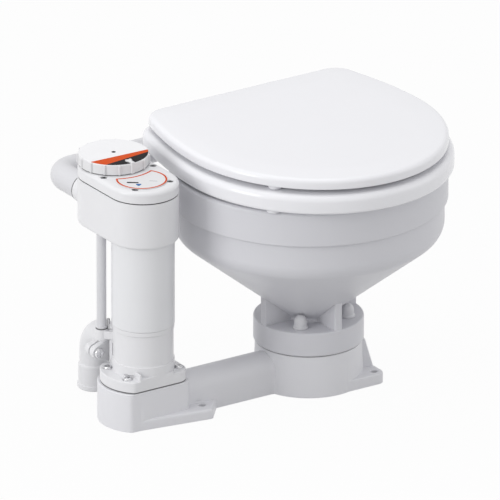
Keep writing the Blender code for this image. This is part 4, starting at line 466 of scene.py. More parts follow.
def treeStart(name, sockets):
    tree = bpy.data.node_groups.new(name, "GeometryNodeTree")
    for label, kind, value in [("Geometry", "Geometry", None), *sockets, ("Material", "Material", None)]:
        socket = tree.interface.new_socket(label, in_out="INPUT", socket_type="NodeSocket" + kind)
        if value is not None:
            socket.default_value = value
    tree.interface.new_socket("Geometry", in_out="OUTPUT", socket_type="NodeSocketGeometry")
    add = nodeAdder(tree)
    return add, add("NodeGroupInput").outputs


def treeEnd(add, given, geometry):
    real = add("GeometryNodeRealizeInstances", Geometry=geometry)
    painted = add("GeometryNodeSetMaterial", Geometry=real.outputs[0], Material=given["Material"])
    return add("NodeGroupOutput", _0=painted.outputs[0]).id_data


# A round bar along the piece's own line of edges
def pipeTreeMade():
    add, given = treeStart("pipeAlongPath", [("Radius", "Float", 0.01), ("Sides", "Int", 48)])
    line = add("GeometryNodeMeshToCurve", Mesh=given["Geometry"])
    ring = add("GeometryNodeCurvePrimitiveCircle", Resolution=given["Sides"], Radius=given["Radius"])
    bar = add("GeometryNodeCurveToMesh", Curve=line.outputs[0], Profile_Curve=ring.outputs[0], Fill_Caps=True)
    return treeEnd(add, given, bar.outputs[0])


# A copy of one piece at each point with its turn about Z
def copiesMade(add, given, points, angle):
    source = add("GeometryNodeObjectInfo", Object=given["Piece"])
    turn = add("ShaderNodeCombineXYZ", Z=angle)
    copies = add("GeometryNodeInstanceOnPoints", Points=points, Instance=source.outputs["Geometry"],
                 Rotation=turn.outputs[0])
    return treeEnd(add, given, copies.outputs[0])


# Copies at the mesh's own points, each turned a little at random
def placesTreeMade():
    add, given = treeStart("copiesAtPlaces", [
        ("Piece", "Object", None), ("Most Turn", "Float", 0.0), ("Seed", "Int", 1)])
    angle = add("FunctionNodeRandomValue", {"data_type": "FLOAT"}, _2=0.0, _3=given["Most Turn"],
                Seed=given["Seed"])
    return copiesMade(add, given, given["Geometry"], angle.outputs[1])


# Copies at equal turns about an upright axis
def aroundTreeMade():
    add, given = treeStart("copiesAroundAxis", [
        ("Piece", "Object", None), ("Count", "Int", 4), ("First Angle", "Float", 0.0),
        ("Centre", "Vector", None)])
    step = add("ShaderNodeMath", {"operation": "DIVIDE"}, _0=2 * pi, _1=given["Count"])
    index = add("GeometryNodeInputIndex")
    angle = add("ShaderNodeMath", {"operation": "MULTIPLY_ADD"}, _0=index.outputs[0], _1=step.outputs[0],
                _2=given["First Angle"])
    places = add("GeometryNodePoints", Count=given["Count"], Position=given["Centre"])
    return copiesMade(add, given, places.outputs[0], angle.outputs[0])


pipeTree, placesTree, aroundTree = pipeTreeMade(), placesTreeMade(), aroundTreeMade()


# Runs a tree on points and edges with its inputs set, and keeps the result as a plain mesh
def grown(name, points, edges, tree, material, **values):
    mesh = bpy.data.meshes.new(name)
    mesh.from_pydata([tuple(point) for point in points], edges, [])
    piece = showMesh(name, mesh)
    step = piece.modifiers.new(tree.name, "NODES")
    step.node_group = tree
    inputs = {item.name: item.identifier for item in tree.interface.items_tree if item.in_out == "INPUT"}
    step[inputs["Material"]] = look.get(material)
    for label, value in values.items():
        step[inputs[label.replace("_", " ")]] = value
    asMesh(piece)
    if "Piece" in values:
        bpy.data.objects.remove(values["Piece"])
    return piece


# A bar along a route; corners given with a radius are bent
def pipe(name, route, radius, material=None, sides=64):
    path = []
    for i, corner in enumerate(route):
        if len(corner) > 3:
            path += cornerArc(route[i - 1][:3], corner[:3], route[i + 1][:3], corner[3], 20)
        else:
            path.append(Vector(corner))
    edges = [(i, i + 1) for i in range(len(path) - 1)]
    return grown(name, path, edges, pipeTree, material, Radius=radius, Sides=sides)


# Copies of a piece as one mesh that stands for the numbered nodes
def copiesFor(node, name, piece, places, material, slot, mostTurn=0.0, seed=1, body="frame"):
    made = grown(name, places, [], placesTree, material, Piece=piece, Most_Turn=mostTurn, Seed=seed)
    finished(made, body, *numbered(node, len(places)), slot=slot)


def copiesAround(name, piece, count, firstAngle, centre, material):
    return grown(name, [], [], aroundTree, material, Piece=piece, Count=count, First_Angle=firstAngle,
                 Centre=centre)


# Base casting
base = {
    "pedestalTop": 0.0672, "pedestalFoot": 0.0692, "height": 0.0542, "topEdge": 0.0012,
    "footThickness": 0.0140, "footEdge": 0.0024, "footX": 0.0725, "footNear": 0.0300, "footFar": 0.0672,
    "footCorner": 0.0110, "footHole": (0.0610, 0.0560), "holeRadius": 0.0046, "holeChamfer": 0.0008,
    "finAngle": 30, "finReach": 0.0810, "finThickness": 0.0060, "finTop": 0.0525, "finEdge": 0.0012,
    "finFootRound": 0.0004, "finTopRound": 0.0040,
    "channelHalf": 0.0215, "channelTop": 0.0506, "boreRadius": 0.0150, "wellRadius": 0.0190,
    "wellFloor": 0.0090, "flareEnd": -0.0650, "flareLength": 0.0060, "flareSpread": 0.0012, "flareSteps": 12,
    "pumpBase": (0.0575, 0.0390, 0.0468, 0.0090), "pumpBaseHeight": 0.0507, "pumpBaseEdge": 0.0012,
    "grooveDrop": 0.0026, "grooveWidth": 0.0006, "grooveDepth": 0.0004,
    "toe": (-0.1740, -0.0480), "heelX": -0.2810, "heelFront": 0.0375, "heelBack": 0.0360,
    "endX": -0.1490, "endHalf": 0.0185, "pumpFootThickness": 0.0130, "pumpFootEdge": 0.0032,
    "pumpFootCorner": 0.0060, "pumpFootHole": (-0.1780, 0.0290),
    "sunk": -0.0200, "floorCut": ((-0.5, -0.3, -0.05), (0.3, 0.3, 0)),
}


# The pedestal's two feet and two fins
def pedestalParts(s):
    foot, inside, parts = s["footThickness"], s["pedestalTop"] - 2 * reach, []
    half, edge = s["finThickness"] / 2, s["finEdge"]
    for side in (-1, 1):
        plan = softened([(0, side * s["footFar"]), (s["footX"], side * s["footFar"], s["footCorner"]),
                         (s["footX"], side * s["footNear"], s["footCorner"]), (0, side * s["footNear"])],
                        closed=True, steps=10)
        parts.append(slab("foot", plan, roundedLayers(-2 * reach, foot, 0, s["footEdge"])))
        fin = softened([(inside, foot - reach), (s["finReach"], foot - reach),
                        (s["finReach"], foot, s["finFootRound"]),
                        (s["pedestalTop"] + reach, s["finTop"], s["finTopRound"]), (inside, s["finTop"])],
                       closed=True)
        placing = Matrix.Rotation(side * radians(s["finAngle"]), 4, "Z") @ upright
        parts.append(slab("fin", fin, roundedLayers(-half, half, edge, edge, 3), placing=placing))
    return parts


# An arched channel that widens a little before it meets the pedestal
def channelPart(s, centre):
    half, low, steps = s["channelHalf"], -3 * reach, s["flareSteps"]

    def archAt(spread):
        wide = half + spread
        arch = [(wide * cos(pi * i / 48), centre + half * sin(pi * i / 48)) for i in range(49)]
        return [(wide, low), *arch, (-wide, low)]

    flare = [(s["flareSpread"] * (i / steps) ** 2, s["flareEnd"] - s["flareLength"] * (1 - i / steps))
             for i in range(steps + 1)]
    stations = [(0, pumpX), *flare, (s["flareSpread"], -s["wellRadius"] - reach)]
    return slab("channel", archAt, stations, placing=acrossX)


# The pump's foot, and its base with the groove under the upper edge
def pumpParts(s):
    (toeX, toeY), corner = s["toe"], s["pumpFootCorner"]
    plan = softened([(s["heelX"], pumpY - s["heelFront"]), (toeX, toeY, corner), (s["endX"], -s["endHalf"]),
                     (s["endX"], s["endHalf"]), (toeX, -toeY, corner), (s["heelX"], pumpY + s["heelBack"])],
                    closed=True, steps=10)
    foot = slab("pumpFoot", plan, roundedLayers(-5 * reach, s["pumpFootThickness"], 0, s["pumpFootEdge"]))
    layers = roundedLayers(s["sunk"], s["pumpBaseHeight"], 0, s["pumpBaseEdge"], 4)
    deep, under, half = s["grooveDepth"], s["pumpBaseHeight"] - s["grooveDrop"], s["grooveWidth"] / 2
    layers[1:1] = [(0, under - half - deep), (deep, under - half), (deep, under + half),
                   (0, under + half + deep)]
    return [foot, slab("pumpBase", pumpPlan(*s["pumpBase"]), layers)]


def baseCasting(s):
    height, centre = s["height"], s["channelTop"] - s["channelHalf"]
    pedestal = turned("baseCasting", [(0, height), (s["pedestalTop"], height, s["topEdge"]),
                                      (s["pedestalFoot"], 0), (s["pedestalFoot"], -reach), (0, -reach)],
                      "castWhite")
    casting = fuse(pedestal, joins=[*pedestalParts(s), channelPart(s, centre), *pumpParts(s)])
    holes = [(s["footHole"], s["footThickness"]), (s["pumpFootHole"], s["pumpFootThickness"])]
    cuts = [box("floorCut", *s["floorCut"])]
    cuts += [sink(x, side * y, top, -over, s["holeRadius"], s["holeChamfer"], 32)
             for (x, y), top in holes for side in (-1, 1)]
    cuts += [rod("well", s["wellRadius"], (0, 0, s["wellFloor"]), (0, 0, height + over), sides=64),
             rod("bore", s["boreRadius"], (pumpX, 0, centre), (0, 0, centre))]
    finished(fuse(casting, cuts=cuts), "frame", "base_casting", angle=30, slot="satin_white")


baseCasting(base)
print("base casting made")


# Bowl, its gasket and its stud caps
bowlShape = {
    "foot": 0.0558, "collarRadius": 0.0694, "collarTop": 0.0870, "collarEdge": 0.0022, "throatRadius": 0.0300,
    "coneFoot": 0.0918, "bandRadius": 0.1700, "bandFoot": 0.2045, "bandRound": 0.0260,
    "rimRadius": 0.1745, "rimLow": 0.2460, "rimRound": 0.0075, "rimTop": 0.2910, "rimEdge": 0.0045,
    "mouth": 0.1430, "lip": 0.0090, "channelRadius": 0.1600, "channelLow": 0.2530, "channelTop": 0.2730,
    "outlet": 0.0190, "outletTop": 0.0980,
    # corners of the basin's wall, each with its rounding
    "basin": [(0.0330, 0.1120, 0.0250), (0.1325, 0.1830, 0.0500), (0.1530, 0.2180, 0.0300)],
    "ribs": 4, "ribHalf": 0.0055, "ribInner": 0.0220, "ribOuter": 0.0684, "ribTop": 0.1270, "ribEdge": 0.0016,
    "deckHalf": 0.0950, "deckFront": 0.1200, "deckBack": 0.1875, "deckTop": 0.2902, "deckThickness": 0.0120,
    "deckCorner": 0.0140, "deckEdges": (0.0030, 0.0020),
    # cutters that keep the deck and the ribs out of the basin
    "aboveDeck": [(0.1590, 0.2600), (0.1300, 0.2000), (0, 0.2000)], "aboveDeckLow": 0.2680,
    "aboveRibs": [(0, 0.16), (0.095, 0.16), (0.0335, 0.1122), (0, 0.1122)], "outletCutTop": 0.1200,
    "studCircle": 0.0500, "capRadius": 0.0080, "skirtRadius": 0.0095, "skirtHeight": 0.0034,
    "capHeight": 0.0170, "capDome": 0.0090,
    "gasket": (0.0666, 0.0193, 0.0545, 0.0555, 0.0003),    # radii, heights, edge
}


def bowl(s):
    top, foot, mouth, channel, collar = s["rimTop"], s["foot"], s["mouth"], s["channelRadius"], s["collarTop"]
    corners = [
        (mouth, top, 0.0030), (s["rimRadius"], top, s["rimEdge"]),
        (s["rimRadius"], s["rimLow"], s["rimRound"]),
        (s["bandRadius"], s["rimLow"], 0.0010), (s["bandRadius"], s["bandFoot"], s["bandRound"]),
        (s["throatRadius"], s["coneFoot"], 0.0060), (s["throatRadius"], collar, 0.0030),
        (s["collarRadius"], collar, s["collarEdge"]), (s["collarRadius"], foot, s["collarEdge"]),
        (s["outlet"], foot, 0.0010), (s["outlet"], s["outletTop"], 0.0200), *s["basin"],
        (channel, s["channelLow"], 0.0100), (channel, s["channelTop"], 0.0040),
        (mouth, top - s["lip"], 0.0025),
    ]
    body = turned("glazedBowl", corners, "ceramicWhite", closed=True, sides=192, steps=10)
    rib = box("rib", (s["ribInner"], -s["ribHalf"], collar - reach),
              (s["ribOuter"], s["ribHalf"], s["ribTop"]), s["ribEdge"])
    ribs = copiesAround("ribs", rib, s["ribs"], 0.0, (0, 0, 0), "ceramicWhite")
    half, back, corner = s["deckHalf"], s["deckBack"], s["deckCorner"]
    plan = softened([(-half, s["deckFront"]), (half, s["deckFront"]), (half, back, corner),
                     (-half, back, corner)], closed=True, steps=10)
    deck = slab("deck", plan, roundedLayers(s["deckTop"] - s["deckThickness"], s["deckTop"], *s["deckEdges"]))
    wide = mouth + 0.002
    hollow = turned("hollow", [(0, top + over), (wide, top + over), (wide, s["aboveDeckLow"]),
                               *s["aboveDeck"]], sides=192)
    outlet = rod("outlet", s["outlet"] + 0.001, (0, 0, foot), (0, 0, s["outletCutTop"]), sides=64)
    deck = fuse(deck, cuts=[hollow])
    ribs = fuse(ribs, cuts=[outlet])
    ribs = fuse(ribs, cuts=[turned("aboveRibs", s["aboveRibs"], sides=96)])
    finished(fuse(body, joins=[ribs, deck]), "frame", "bowl", angle=40, slot="glazed_white")


def bowlGasket(s):
    ring = band("bowlGasket", *s["gasket"], "greyRubber", steps=2)
    finished(ring, "frame", "bowl_gasket", slot="grey_rubber")


# Domed caps with a skirt, one over each stud
def studCaps(s):
    high, skirt, radius, dome = s["capHeight"], s["skirtHeight"], s["capRadius"], s["capDome"]
    rounding = [(radius * sin(t), high - dome * (1 - cos(t))) for t in quarterTurn(10)]
    cap = turned("cap", [*rounding, (radius, skirt + 0.0030), (radius, skirt, 0.0012),
                         (s["skirtRadius"], skirt * 0.55, 0.0006), (s["skirtRadius"], 0), (0, 0)],
                 sides=40, steps=4)
    at = s["studCircle"] * sqrt(0.5)
    places = [(sx * at, sy * at, s["collarTop"] + gap) for sy in (-1, 1) for sx in (-1, 1)]
    copiesFor("stud_cap", "studCaps", cap, places, "pipeWhite", "gloss_white")


bowl(bowlShape)
bowlGasket(bowlShape)
studCaps(bowlShape)
print("bowl made")


# Macerator housing with its gasket and screws
pump = {
    "flange": (0.0543, 0.0390, 0.0464, 0.0180), "flangeLow": 0.0523, "flangeTop": 0.0660,
    "flangeEdges": (0.0006, 0.0016),
    "chamberRadius": 0.0380, "chamberTop": 0.1210, "ringRadius": 0.0393, "ringHeight": 0.0143,
    "blockX": (-0.0297, 0.0197), "blockTop": 0.0684, "gussetWidth": 0.0023, "gussetTop": 0.0748,
    "blockEdge": 0.0005,
    "portHeight": 0.0800, "portRadius": 0.0205, "portFaceY": 0.0572, "portThickness": 0.0088,
    "portStart": 0.0280, "portRound": 0.0225, "portEdge": 0.0010, "lugRadius": 0.0085, "boltSpread": 0.0395,
    "tube": (-0.0362, 0.0395), "armTop": 0.1130, "armDepth": 0.0120, "armWidth": 0.0130, "armEdge": 0.0015,
    "bossRadius": 0.0080, "webThickness": 0.0050, "webReach": 0.0050, "webEdge": 0.0008,
    # slot beside the web: heights, width, distance from the chamber, depth
    "webSlot": (0.0758, 0.0957), "webSlotWidth": 0.0010, "webSlotStart": 0.0002, "webSlotDepth": 0.0035,
    "gasket": (0.0510, 0.0520), "gasketInset": 0.0004,
    "screwX": 0.0380, "screwY": 0.0228, "sinkRadius": 0.0061, "sinkDepth": 0.0016, "sinkChamfer": 0.0007,
    "screwHead": 0.0058, "screwHeadHeight": 0.0040, "screwRecess": 0.0016, "mostTurn": 1.4, "seed": 3,
    # knurled screw on the arm: place, radius, neck's share of it, heights, teeth with their size and span
    "armScrew": (-0.0300, 0.0333), "armScrewRadius": 0.0018, "armScrewNeck": 0.7, "armScrewTop": 0.1270,
    "armScrewSunk": 0.0020, "neckDrop": (0.0075, 0.0079), "teeth": 16, "toothHalf": 0.00016,
    "toothStand": 0.00022, "toothSpan": (0.0072, 0.0006),
}


# Two-bolt flange: a round middle drawn out to a lug at each side
def portFlange(s, low, high):
    spread, edge = s["boltSpread"], s["portEdge"]
    circles = [(s["portRound"], 0, 0), (s["lugRadius"], -spread, 0), (s["lugRadius"], spread, 0)]
    placing = Matrix.Translation((pumpX, 0, s["portHeight"])) @ upright
    layers = roundedLayers(-high, -low, edge, edge, 3)
    return slab("portFlange", hullPlan(circles, 96, 160), layers, placing=placing)


# Arm, web and boss that hold the feed tube, and the slot beside the web
def armParts(s):
    x, y = s["tube"]
    placing = Matrix.Translation((pumpX, pumpY, 0)) @ Matrix.Rotation(atan2(y, x), 4, "Z")
    top, edge, chamber, thin = s["armTop"], s["armEdge"], s["chamberRadius"], s["webThickness"] / 2
    low, half, inner = top - s["armDepth"], s["armWidth"] / 2, chamber - reach
    bar = box("bar", (inner, -half, low), (hypot(x, y), half, top - edge), edge, placing=placing)
    web = box("web", (inner, -thin, s["flangeTop"] - reach), (chamber + s["webReach"], thin, top - reach),
              s["webEdge"], placing=placing)
    boss = turned("boss", [(0, top), (s["bossRadius"], top, 0.0010), (s["bossRadius"], low - reach, 0.0020),
                           (0, low - reach)], at=(pumpX + x, pumpY + y, 0), sides=64, steps=4)
    start, (slotLow, slotTop) = chamber + s["webSlotStart"], s["webSlot"]
    slot = box("webSlot", (start, thin - s["webSlotDepth"], slotLow),
               (start + s["webSlotWidth"], thin + over, slotTop), placing=placing)
    return [bar, web, boss], slot


def screwPlaces(s):
    return [(pumpX + sx * s["screwX"], pumpY + sy * s["screwY"]) for sx in (-1, 1) for sy in (-1, 1)]


def maceratorHousing(s):
    chamber, ring, top, height = s["chamberRadius"], s["ringRadius"], s["flangeTop"], s["portHeight"]
    ringTop = top + s["ringHeight"]
    body = turned("maceratorHousing", [(0, s["chamberTop"]), (chamber, s["chamberTop"], 0.0006),
                                       (chamber, ringTop, 0.0010), (ring, ringTop, 0.0008),
                                       (ring, top - reach), (0, top - reach)],
                  "housingWhite", at=(pumpX, pumpY, 0), steps=4)
    flange = slab("flange", pumpPlan(*s["flange"]), roundedLayers(s["flangeLow"], top, *s["flangeEdges"], 4))
    face = s["portFaceY"]
    port = rod("port", s["portRadius"], (pumpX, pumpY + s["portStart"], height),
               (pumpX, face - reach, height), sides=96)
    arm, webSlot = armParts(s)
    front, (left, right) = pumpY - s["flange"][1], [pumpX + x for x in s["blockX"]]
    block = box("block", (left, front, top - reach), (right, pumpY, s["blockTop"]), s["blockEdge"])
    gusset = box("gusset", (left, front + 0.0001, top - reach),
                 (left + s["gussetWidth"], pumpY, s["gussetTop"]), s["blockEdge"])
    flanges = [flange, port, portFlange(s, face - s["portThickness"], face)]
    housing = fuse(body, joins=[*flanges, *arm, block, gusset])
    sinks = [sink(x, y, top, top - s["sinkDepth"], s["sinkRadius"], s["sinkChamfer"], 48)
             for x, y in screwPlaces(s)]
    finished(fuse(housing, cuts=[*sinks, webSlot]), "frame", "macerator_housing", angle=32,
             slot="gloss_white")


# A pan head with a cross recess, standing on its own foot at the origin
def crossScrew(radius, height, recess):
    head = turned("head", [(0, height), (radius * 0.9, height, radius * 0.55),
                           (radius, height * 0.25, radius * 0.1), (radius, 0), (0, 0)], sides=40, steps=6)
    wide, thin = radius * 0.56, radius * 0.13
    slots = [box("slot", (-x, -y, height - recess), (x, y, height + over))
             for x, y in ((wide, thin), (thin, wide))]
    return fuse(head, cuts=slots)


def pumpFixings(s):
    plan, inset = pumpPlan(*s["flange"]), s["gasketInset"]
    gasket = slab("pumpGasket", lambda more: insetLine(plan, inset + more), roundedLayers(*s["gasket"]),
                  "darkRubber")
    finished(gasket, "frame", "pump_gasket", slot="black_rubber")
    head = crossScrew(s["screwHead"], s["screwHeadHeight"], s["screwRecess"])
    places = [(x, y, s["flangeTop"] - s["sinkDepth"]) for x, y in screwPlaces(s)]
    copiesFor("pump_screw", "pumpScrews", head, places, "zincPlate", "steel", s["mostTurn"], s["seed"])


# Small knurled screw that stands on the arm, between the feed tube and the casing
def armScrew(s):
    radius, high, low = s["armScrewRadius"], s["armScrewTop"], s["armTop"] - s["armScrewSunk"]
    at = (pumpX + s["armScrew"][0], pumpY + s["armScrew"][1], 0)
    neck, (drop, neckDrop) = radius * s["armScrewNeck"], s["neckDrop"]
    stem = turned("armScrew", [(0, high), (radius, high, 0.0005), (radius, high - drop, 0.0004),
                               (neck, high - neckDrop), (neck, low), (0, low)], "stainless", at=at, sides=32)
    half, (foot, top) = s["toothHalf"], s["toothSpan"]
    tooth = box("tooth", (radius * 0.8, -half, high - foot), (radius + s["toothStand"], half, high - top))
    teeth = copiesAround("teeth", tooth, s["teeth"], 0.0, at, None)
    finished(fuse(stem, joins=[teeth]), "frame", slot="steel")


maceratorHousing(pump)
pumpFixings(pump)
armScrew(pump)
print("macerator housing made")


# Discharge elbow and its slotted screws
elbow = {
    "y": 0.1200, "bend": 0.0380, "radius": 0.0185, "bore": 0.0150, "low": 0.0594, "thickness": 0.0088,
    "socketRadius": 0.0200, "socketTop": 0.0335, "ringRadius": 0.0213, "ringTop": 0.0080, "end": 0.0015,
    "headRadius": 0.0066, "headHeight": 0.0036, "slotHalf": 0.0008, "slotDepth": 0.0016, "slotTurn": 8,
}


def dischargeElbow(s, p):
    y, height, high = s["y"], p["portHeight"], s["low"] + s["thickness"]
    socket, ring, joint = s["socketRadius"], s["ringRadius"], s["socketTop"] + reach
    outer = pipe("dischargeElbow", [(pumpX, high - reach, height), (pumpX, y, height, s["bend"]),
                                    (pumpX, y, s["end"] + reach)], s["radius"], "housingWhite", 80)
    end = turned("socket", [(0, joint), (s["radius"] - 0.001, joint), (socket, s["socketTop"], 0.0030),
                            (socket, s["ringTop"], 0.0004), (ring, s["ringTop"], 0.0008),
                            (ring, s["end"], 0.0022), (0, s["end"])], at=(pumpX, y, 0), sides=96, steps=5)
    inner = pipe("inner", [(pumpX, s["low"] - over, height), (pumpX, y, height, s["bend"]),
                           (pumpX, y, -over)], s["bore"])
    made = fuse(outer, joins=[portFlange(p, s["low"], high), end])
    finished(fuse(made, cuts=[inner]), "frame", "discharge_elbow", angle=32, slot="gloss_white")


def elbowScrews(s, p):
    radius, tall, half = s["headRadius"], s["headHeight"], s["slotHalf"]
    head = turned("head", [(0, tall), (radius * 0.92, tall, 0.0022), (radius, 0.0008, 0.0003), (radius, 0),
                           (0, 0)], sides=48, steps=6)
    slot = box("slot", (-half, -radius - over, tall - s["slotDepth"]), (half, radius + over, tall + over))
    head = fuse(head, cuts=[slot])
    head.data.transform(upright @ Matrix.Rotation(radians(s["slotTurn"]), 4, "Z"))
    under = p["portFaceY"] - p["portThickness"] - gap
    places = [(pumpX + side * p["boltSpread"], under, p["portHeight"]) for side in (-1, 1)]
    copiesFor("elbow_screw", "elbowScrews", head, places, "zincPlate", "steel")


dischargeElbow(elbow, pump)
elbowScrews(elbow, pump)
print("discharge elbow made")


# A thin dark ring about Z, or about another axis when it is turned: a rubber seal at the supply pipe, and
# painted shadow under the knob and at the feed tube's foot
def sealAndShadowRing(name, outer, inner, low, high, body, at, turn=(0, 0, 0)):
    ring = band(name, outer, inner, low, high, (high - low) * 0.3, "darkRubber", at=at, sides=96, turn=turn)
    finished(ring, body, slot="grey_rubber")


# Motor column and feed tube
column = {
    "carrierRadius": 0.0390, "carrierLow": 0.1213, "carrierTop": 0.1275,
    "casingRadius": 0.0396, "casingLow": 0.1278, "casingTop": 0.2400, "edge": 0.0007, "wall": 0.0030,
    "tubeRadius": 0.0061, "ferruleRadius": 0.0072, "ferruleHeight": 0.0040, "tubeLow": 0.1133,
    # the last two: a thin dark ring of painted shadow at the feed tube's foot, half its width and its heights
    "tubeTop": 0.2400, "tubeBore": 0.6, "footShadowHalf": 0.0003, "footShadowHeight": (-0.0002, 0.0016),
}


def motorColumn(s, p):
    for name, node, key, paint in (("sealCarrier", "seal_carrier", "carrier", "housingWhite"),
                                   ("motorCasing", "motor_casing", "casing", "casingWhite")):
        radius, low, high = s[key + "Radius"], s[key + "Low"], s[key + "Top"]
        ring = band(name, radius, radius - s["wall"], low, high, s["edge"], paint, at=(pumpX, pumpY, 0))
        finished(ring, "frame", node, slot="gloss_white")
    low, top, radius, ferrule = s["tubeLow"], s["tubeTop"], s["tubeRadius"], s["ferruleRadius"]
    step, bore = low + s["ferruleHeight"], radius * s["tubeBore"]
    at = (pumpX + p["tube"][0], pumpY + p["tube"][1], 0)
    tube = turned("feedTube", [(radius, top), (radius, step, 0.0006), (ferrule, step, 0.0006),
                               (ferrule, low, 0.0004), (bore, low), (bore, top)],
                  "pipeWhite", at=at, closed=True, sides=48)
    finished(tube, "frame", "feed_tube", slot="satin_white")
    # a thin dark ring at the ferrule's foot is painted shadow under the tube
    half, (foot, head) = s["footShadowHalf"], s["footShadowHeight"]
    sealAndShadowRing("tubeSeal", ferrule + half, ferrule - half, low + foot, low + head, "frame", at)


motorColumn(column, pump)
print("motor column made")


# Head: housing, cover, screws and mode plate
head = {
    "radius": 0.0451, "low": 0.2403, "top": 0.3013, "edges": (0.0045, 0.0006),
    "socketRadius": 0.0185, "socketLength": 0.0230, "socketRoot": 0.0200, "socketEdge": 0.0012,
    "pipeHeight": 0.2610,
    "seam": (0.3016, 0.3024), "seamInset": 0.0006, "cover": (0.3027, 0.3177), "coverEdges": (0.0005, 0.0052),
    "screws": [(-0.0258, -0.0222), (0.0258, -0.0222), (-0.0365, 0.0330), (0.0365, 0.0330)],
    "screwHead": 0.0038, "screwHeight": 0.0020, "screwRecess": 0.0012, "screwDrop": 0.0023,
    "sinkRadius": 0.0042, "sinkDepth": 0.0024, "sinkChamfer": 0.0005, "mostTurn": 1.4, "seed": 8,
    "plateRadius": 0.0322, "knobReach": 0.0457, "plateKnobSpace": 0.0085, "plateShift": -0.0018,
    "plateThickness": 0.0008, "plateEdge": 0.0003, "border": (0.0003, 0.0026),
    "inkSunk": 0.0001, "inkHeight": 0.00012,
    # plain shapes on the plate, turned to face the user: middle, corners with their radii, ink
    "markLean": -33,
    "marks": {
        "markBar": ((-0.0171, -0.0031), [(-0.0072, -0.0016, 0.0008), (0.0072, -0.0024, 0.0008),
                                         (0.0072, 0.0010, 0.0008), (-0.0072, 0.0020, 0.0008)], "inkBlack"),
        "markDrop": ((-0.0150, -0.0135), [(0.0, -0.0050, 0.0012), (0.0046, 0.0030, 0.0016),
                                          (-0.0046, 0.0030, 0.0016)], "inkBlue"),
        "markCurve": ((0.0078, -0.0120), [(-0.0050, -0.0010, 0.0004), (0.0050, -0.0022, 0.0004),
                                          (0.0050, -0.0012, 0.0004), (-0.0050, 0.0002, 0.0004)], "inkGrey"),
    },
}


def headHousing(s):
    radius, top, rear, height = s["radius"], s["cover"][1], knobY + s["radius"], s["pipeHeight"]
    shell, seam, cover = [
        slab(name, lambda inset: twoEnds(radius - inset - less), layers, paint)
        for name, less, layers, paint in (
            ("headHousing", 0, roundedLayers(s["low"], s["top"], *s["edges"], 6), "housingWhite"),
            ("headGasket", s["seamInset"], roundedLayers(*s["seam"]), "blackRubber"),
            ("headCover", 0, roundedLayers(*s["cover"], *s["coverEdges"], 8), "housingWhite"))]
    socket = rod("socket", s["socketRadius"], (pumpX, rear - s["socketRoot"], height),
                 (pumpX, rear + s["socketLength"], height), edge=s["socketEdge"], sides=96)
    finished(fuse(shell, joins=[socket]), "frame", "head_housing", slot="gloss_white")
    finished(seam, "frame", "head_gasket", slot="grey_rubber")
    places = [(pumpX + x, pumpY + y) for x, y in s["screws"]]
    sinks = [sink(x, y, top, top - s["sinkDepth"], s["sinkRadius"], s["sinkChamfer"], 40) for x, y in places]
    finished(fuse(cover, cuts=sinks), "frame", "head_cover", slot="gloss_white")
    screw = crossScrew(s["screwHead"], s["screwHeight"], s["screwRecess"])
    seats = [(x, y, top - s["screwDrop"]) for x, y in places]
    # the cover screws take the steel painted darker, as painted shade for the recesses they sit in
    copiesFor("cover_screw", "coverScrews", screw, seats, "recessShadedSteel", "steel", s["mostTurn"], s["seed"])


# Round in front, hollow behind where it follows the knob
def platePlan(s, inset):
    outer, inner = s["plateRadius"] - inset, s["knobReach"] + s["plateKnobSpace"] + inset
    x = pumpX + s["plateShift"]
    half = acos((headSpan ** 2 + outer ** 2 - inner ** 2) / (2 * headSpan) / outer)
    back = asin(outer * sin(half) / inner)
    return (arc(outer, pi / 2 + half, 5 * pi / 2 - half, 72, x, pumpY)
            + arc(inner, back - pi / 2, -back - pi / 2, 36, x, knobY)[1:-1])


def modePlate(s):
    def planAt(inset):
        return platePlan(s, inset)

    low = s["cover"][1] + gap
    high = low + s["plateThickness"]
    plate = slab("modePlate", planAt, roundedLayers(low, high, 0, s["plateEdge"], 2), "knobWhite")
    finished(plate, "frame", "mode_plate", slot="gloss_white")
    (outer, inner), foot, top = s["border"], high - s["inkSunk"], high + s["inkHeight"]
    border = ringSlab("plateBorder", [(planAt, outer, foot), (planAt, outer, top), (planAt, inner, top),
                                      (planAt, inner, foot)], "inkOrange")
    finished(border, "frame", slot="gloss_white")
    lean = radians(s["markLean"])
    for name, ((midX, midY), corners, ink) in s["marks"].items():
        plan = softened([(pumpX + midX + x * cos(lean) - y * sin(lean),
                          pumpY + midY + x * sin(lean) + y * cos(lean), radius) for x, y, radius in corners],
                        closed=True, steps=5)
        finished(slab(name, plan, [(0, foot), (0, top)], ink), "frame", slot="gloss_white")


headHousing(head)
modePlate(head)
print("head made")


# Selector knob with its printed disc
knob = {
    "radius": 0.0443, "low": 0.3189, "top": 0.3323, "edge": 0.0018, "wall": 0.0050, "roof": 0.0045,
    # a thin dark ring under the knob, as painted shadow in the gap over the cover: its radius, its foot, its
    # gap to the knob
    "shadowRingRadius": 0.0440, "shadowRingLow": 0.3178, "shadowRingGap": 0.0001,
    "ribs": 15, "ribAngle": -113.4, "ribHalf": 0.0014, "ribStand": 0.0019, "ribDrop": 0.0004,
    "ribEdge": 0.0009,
    # straight edges of the printed fields: Y at the knob's axis, slope
    "labelRadius": 0.0432, "labelRise": 0.00015, "printSunk": 0.0002, "orange": (-0.0140, -0.041),
    "black": (-0.0269, 0.120), "fieldWhite": ((0.86, 0.86, 0.875), (0.83, 0.83, 0.85)),
    "screwRadius": 0.0026, "screwRise": 0.0005,
    "pointerHalf": 0.0024, "barbHalf": 0.0046, "barbAt": 0.0356, "barbLength": 0.0045, "pointerEnd": 0.0322,
    "pointerNotch": 0.0015, "pointerSunk": 0.0015, "pointerRise": 0.0018, "pointerAngle": -90.5,
    "legRise": 0.0010,
}


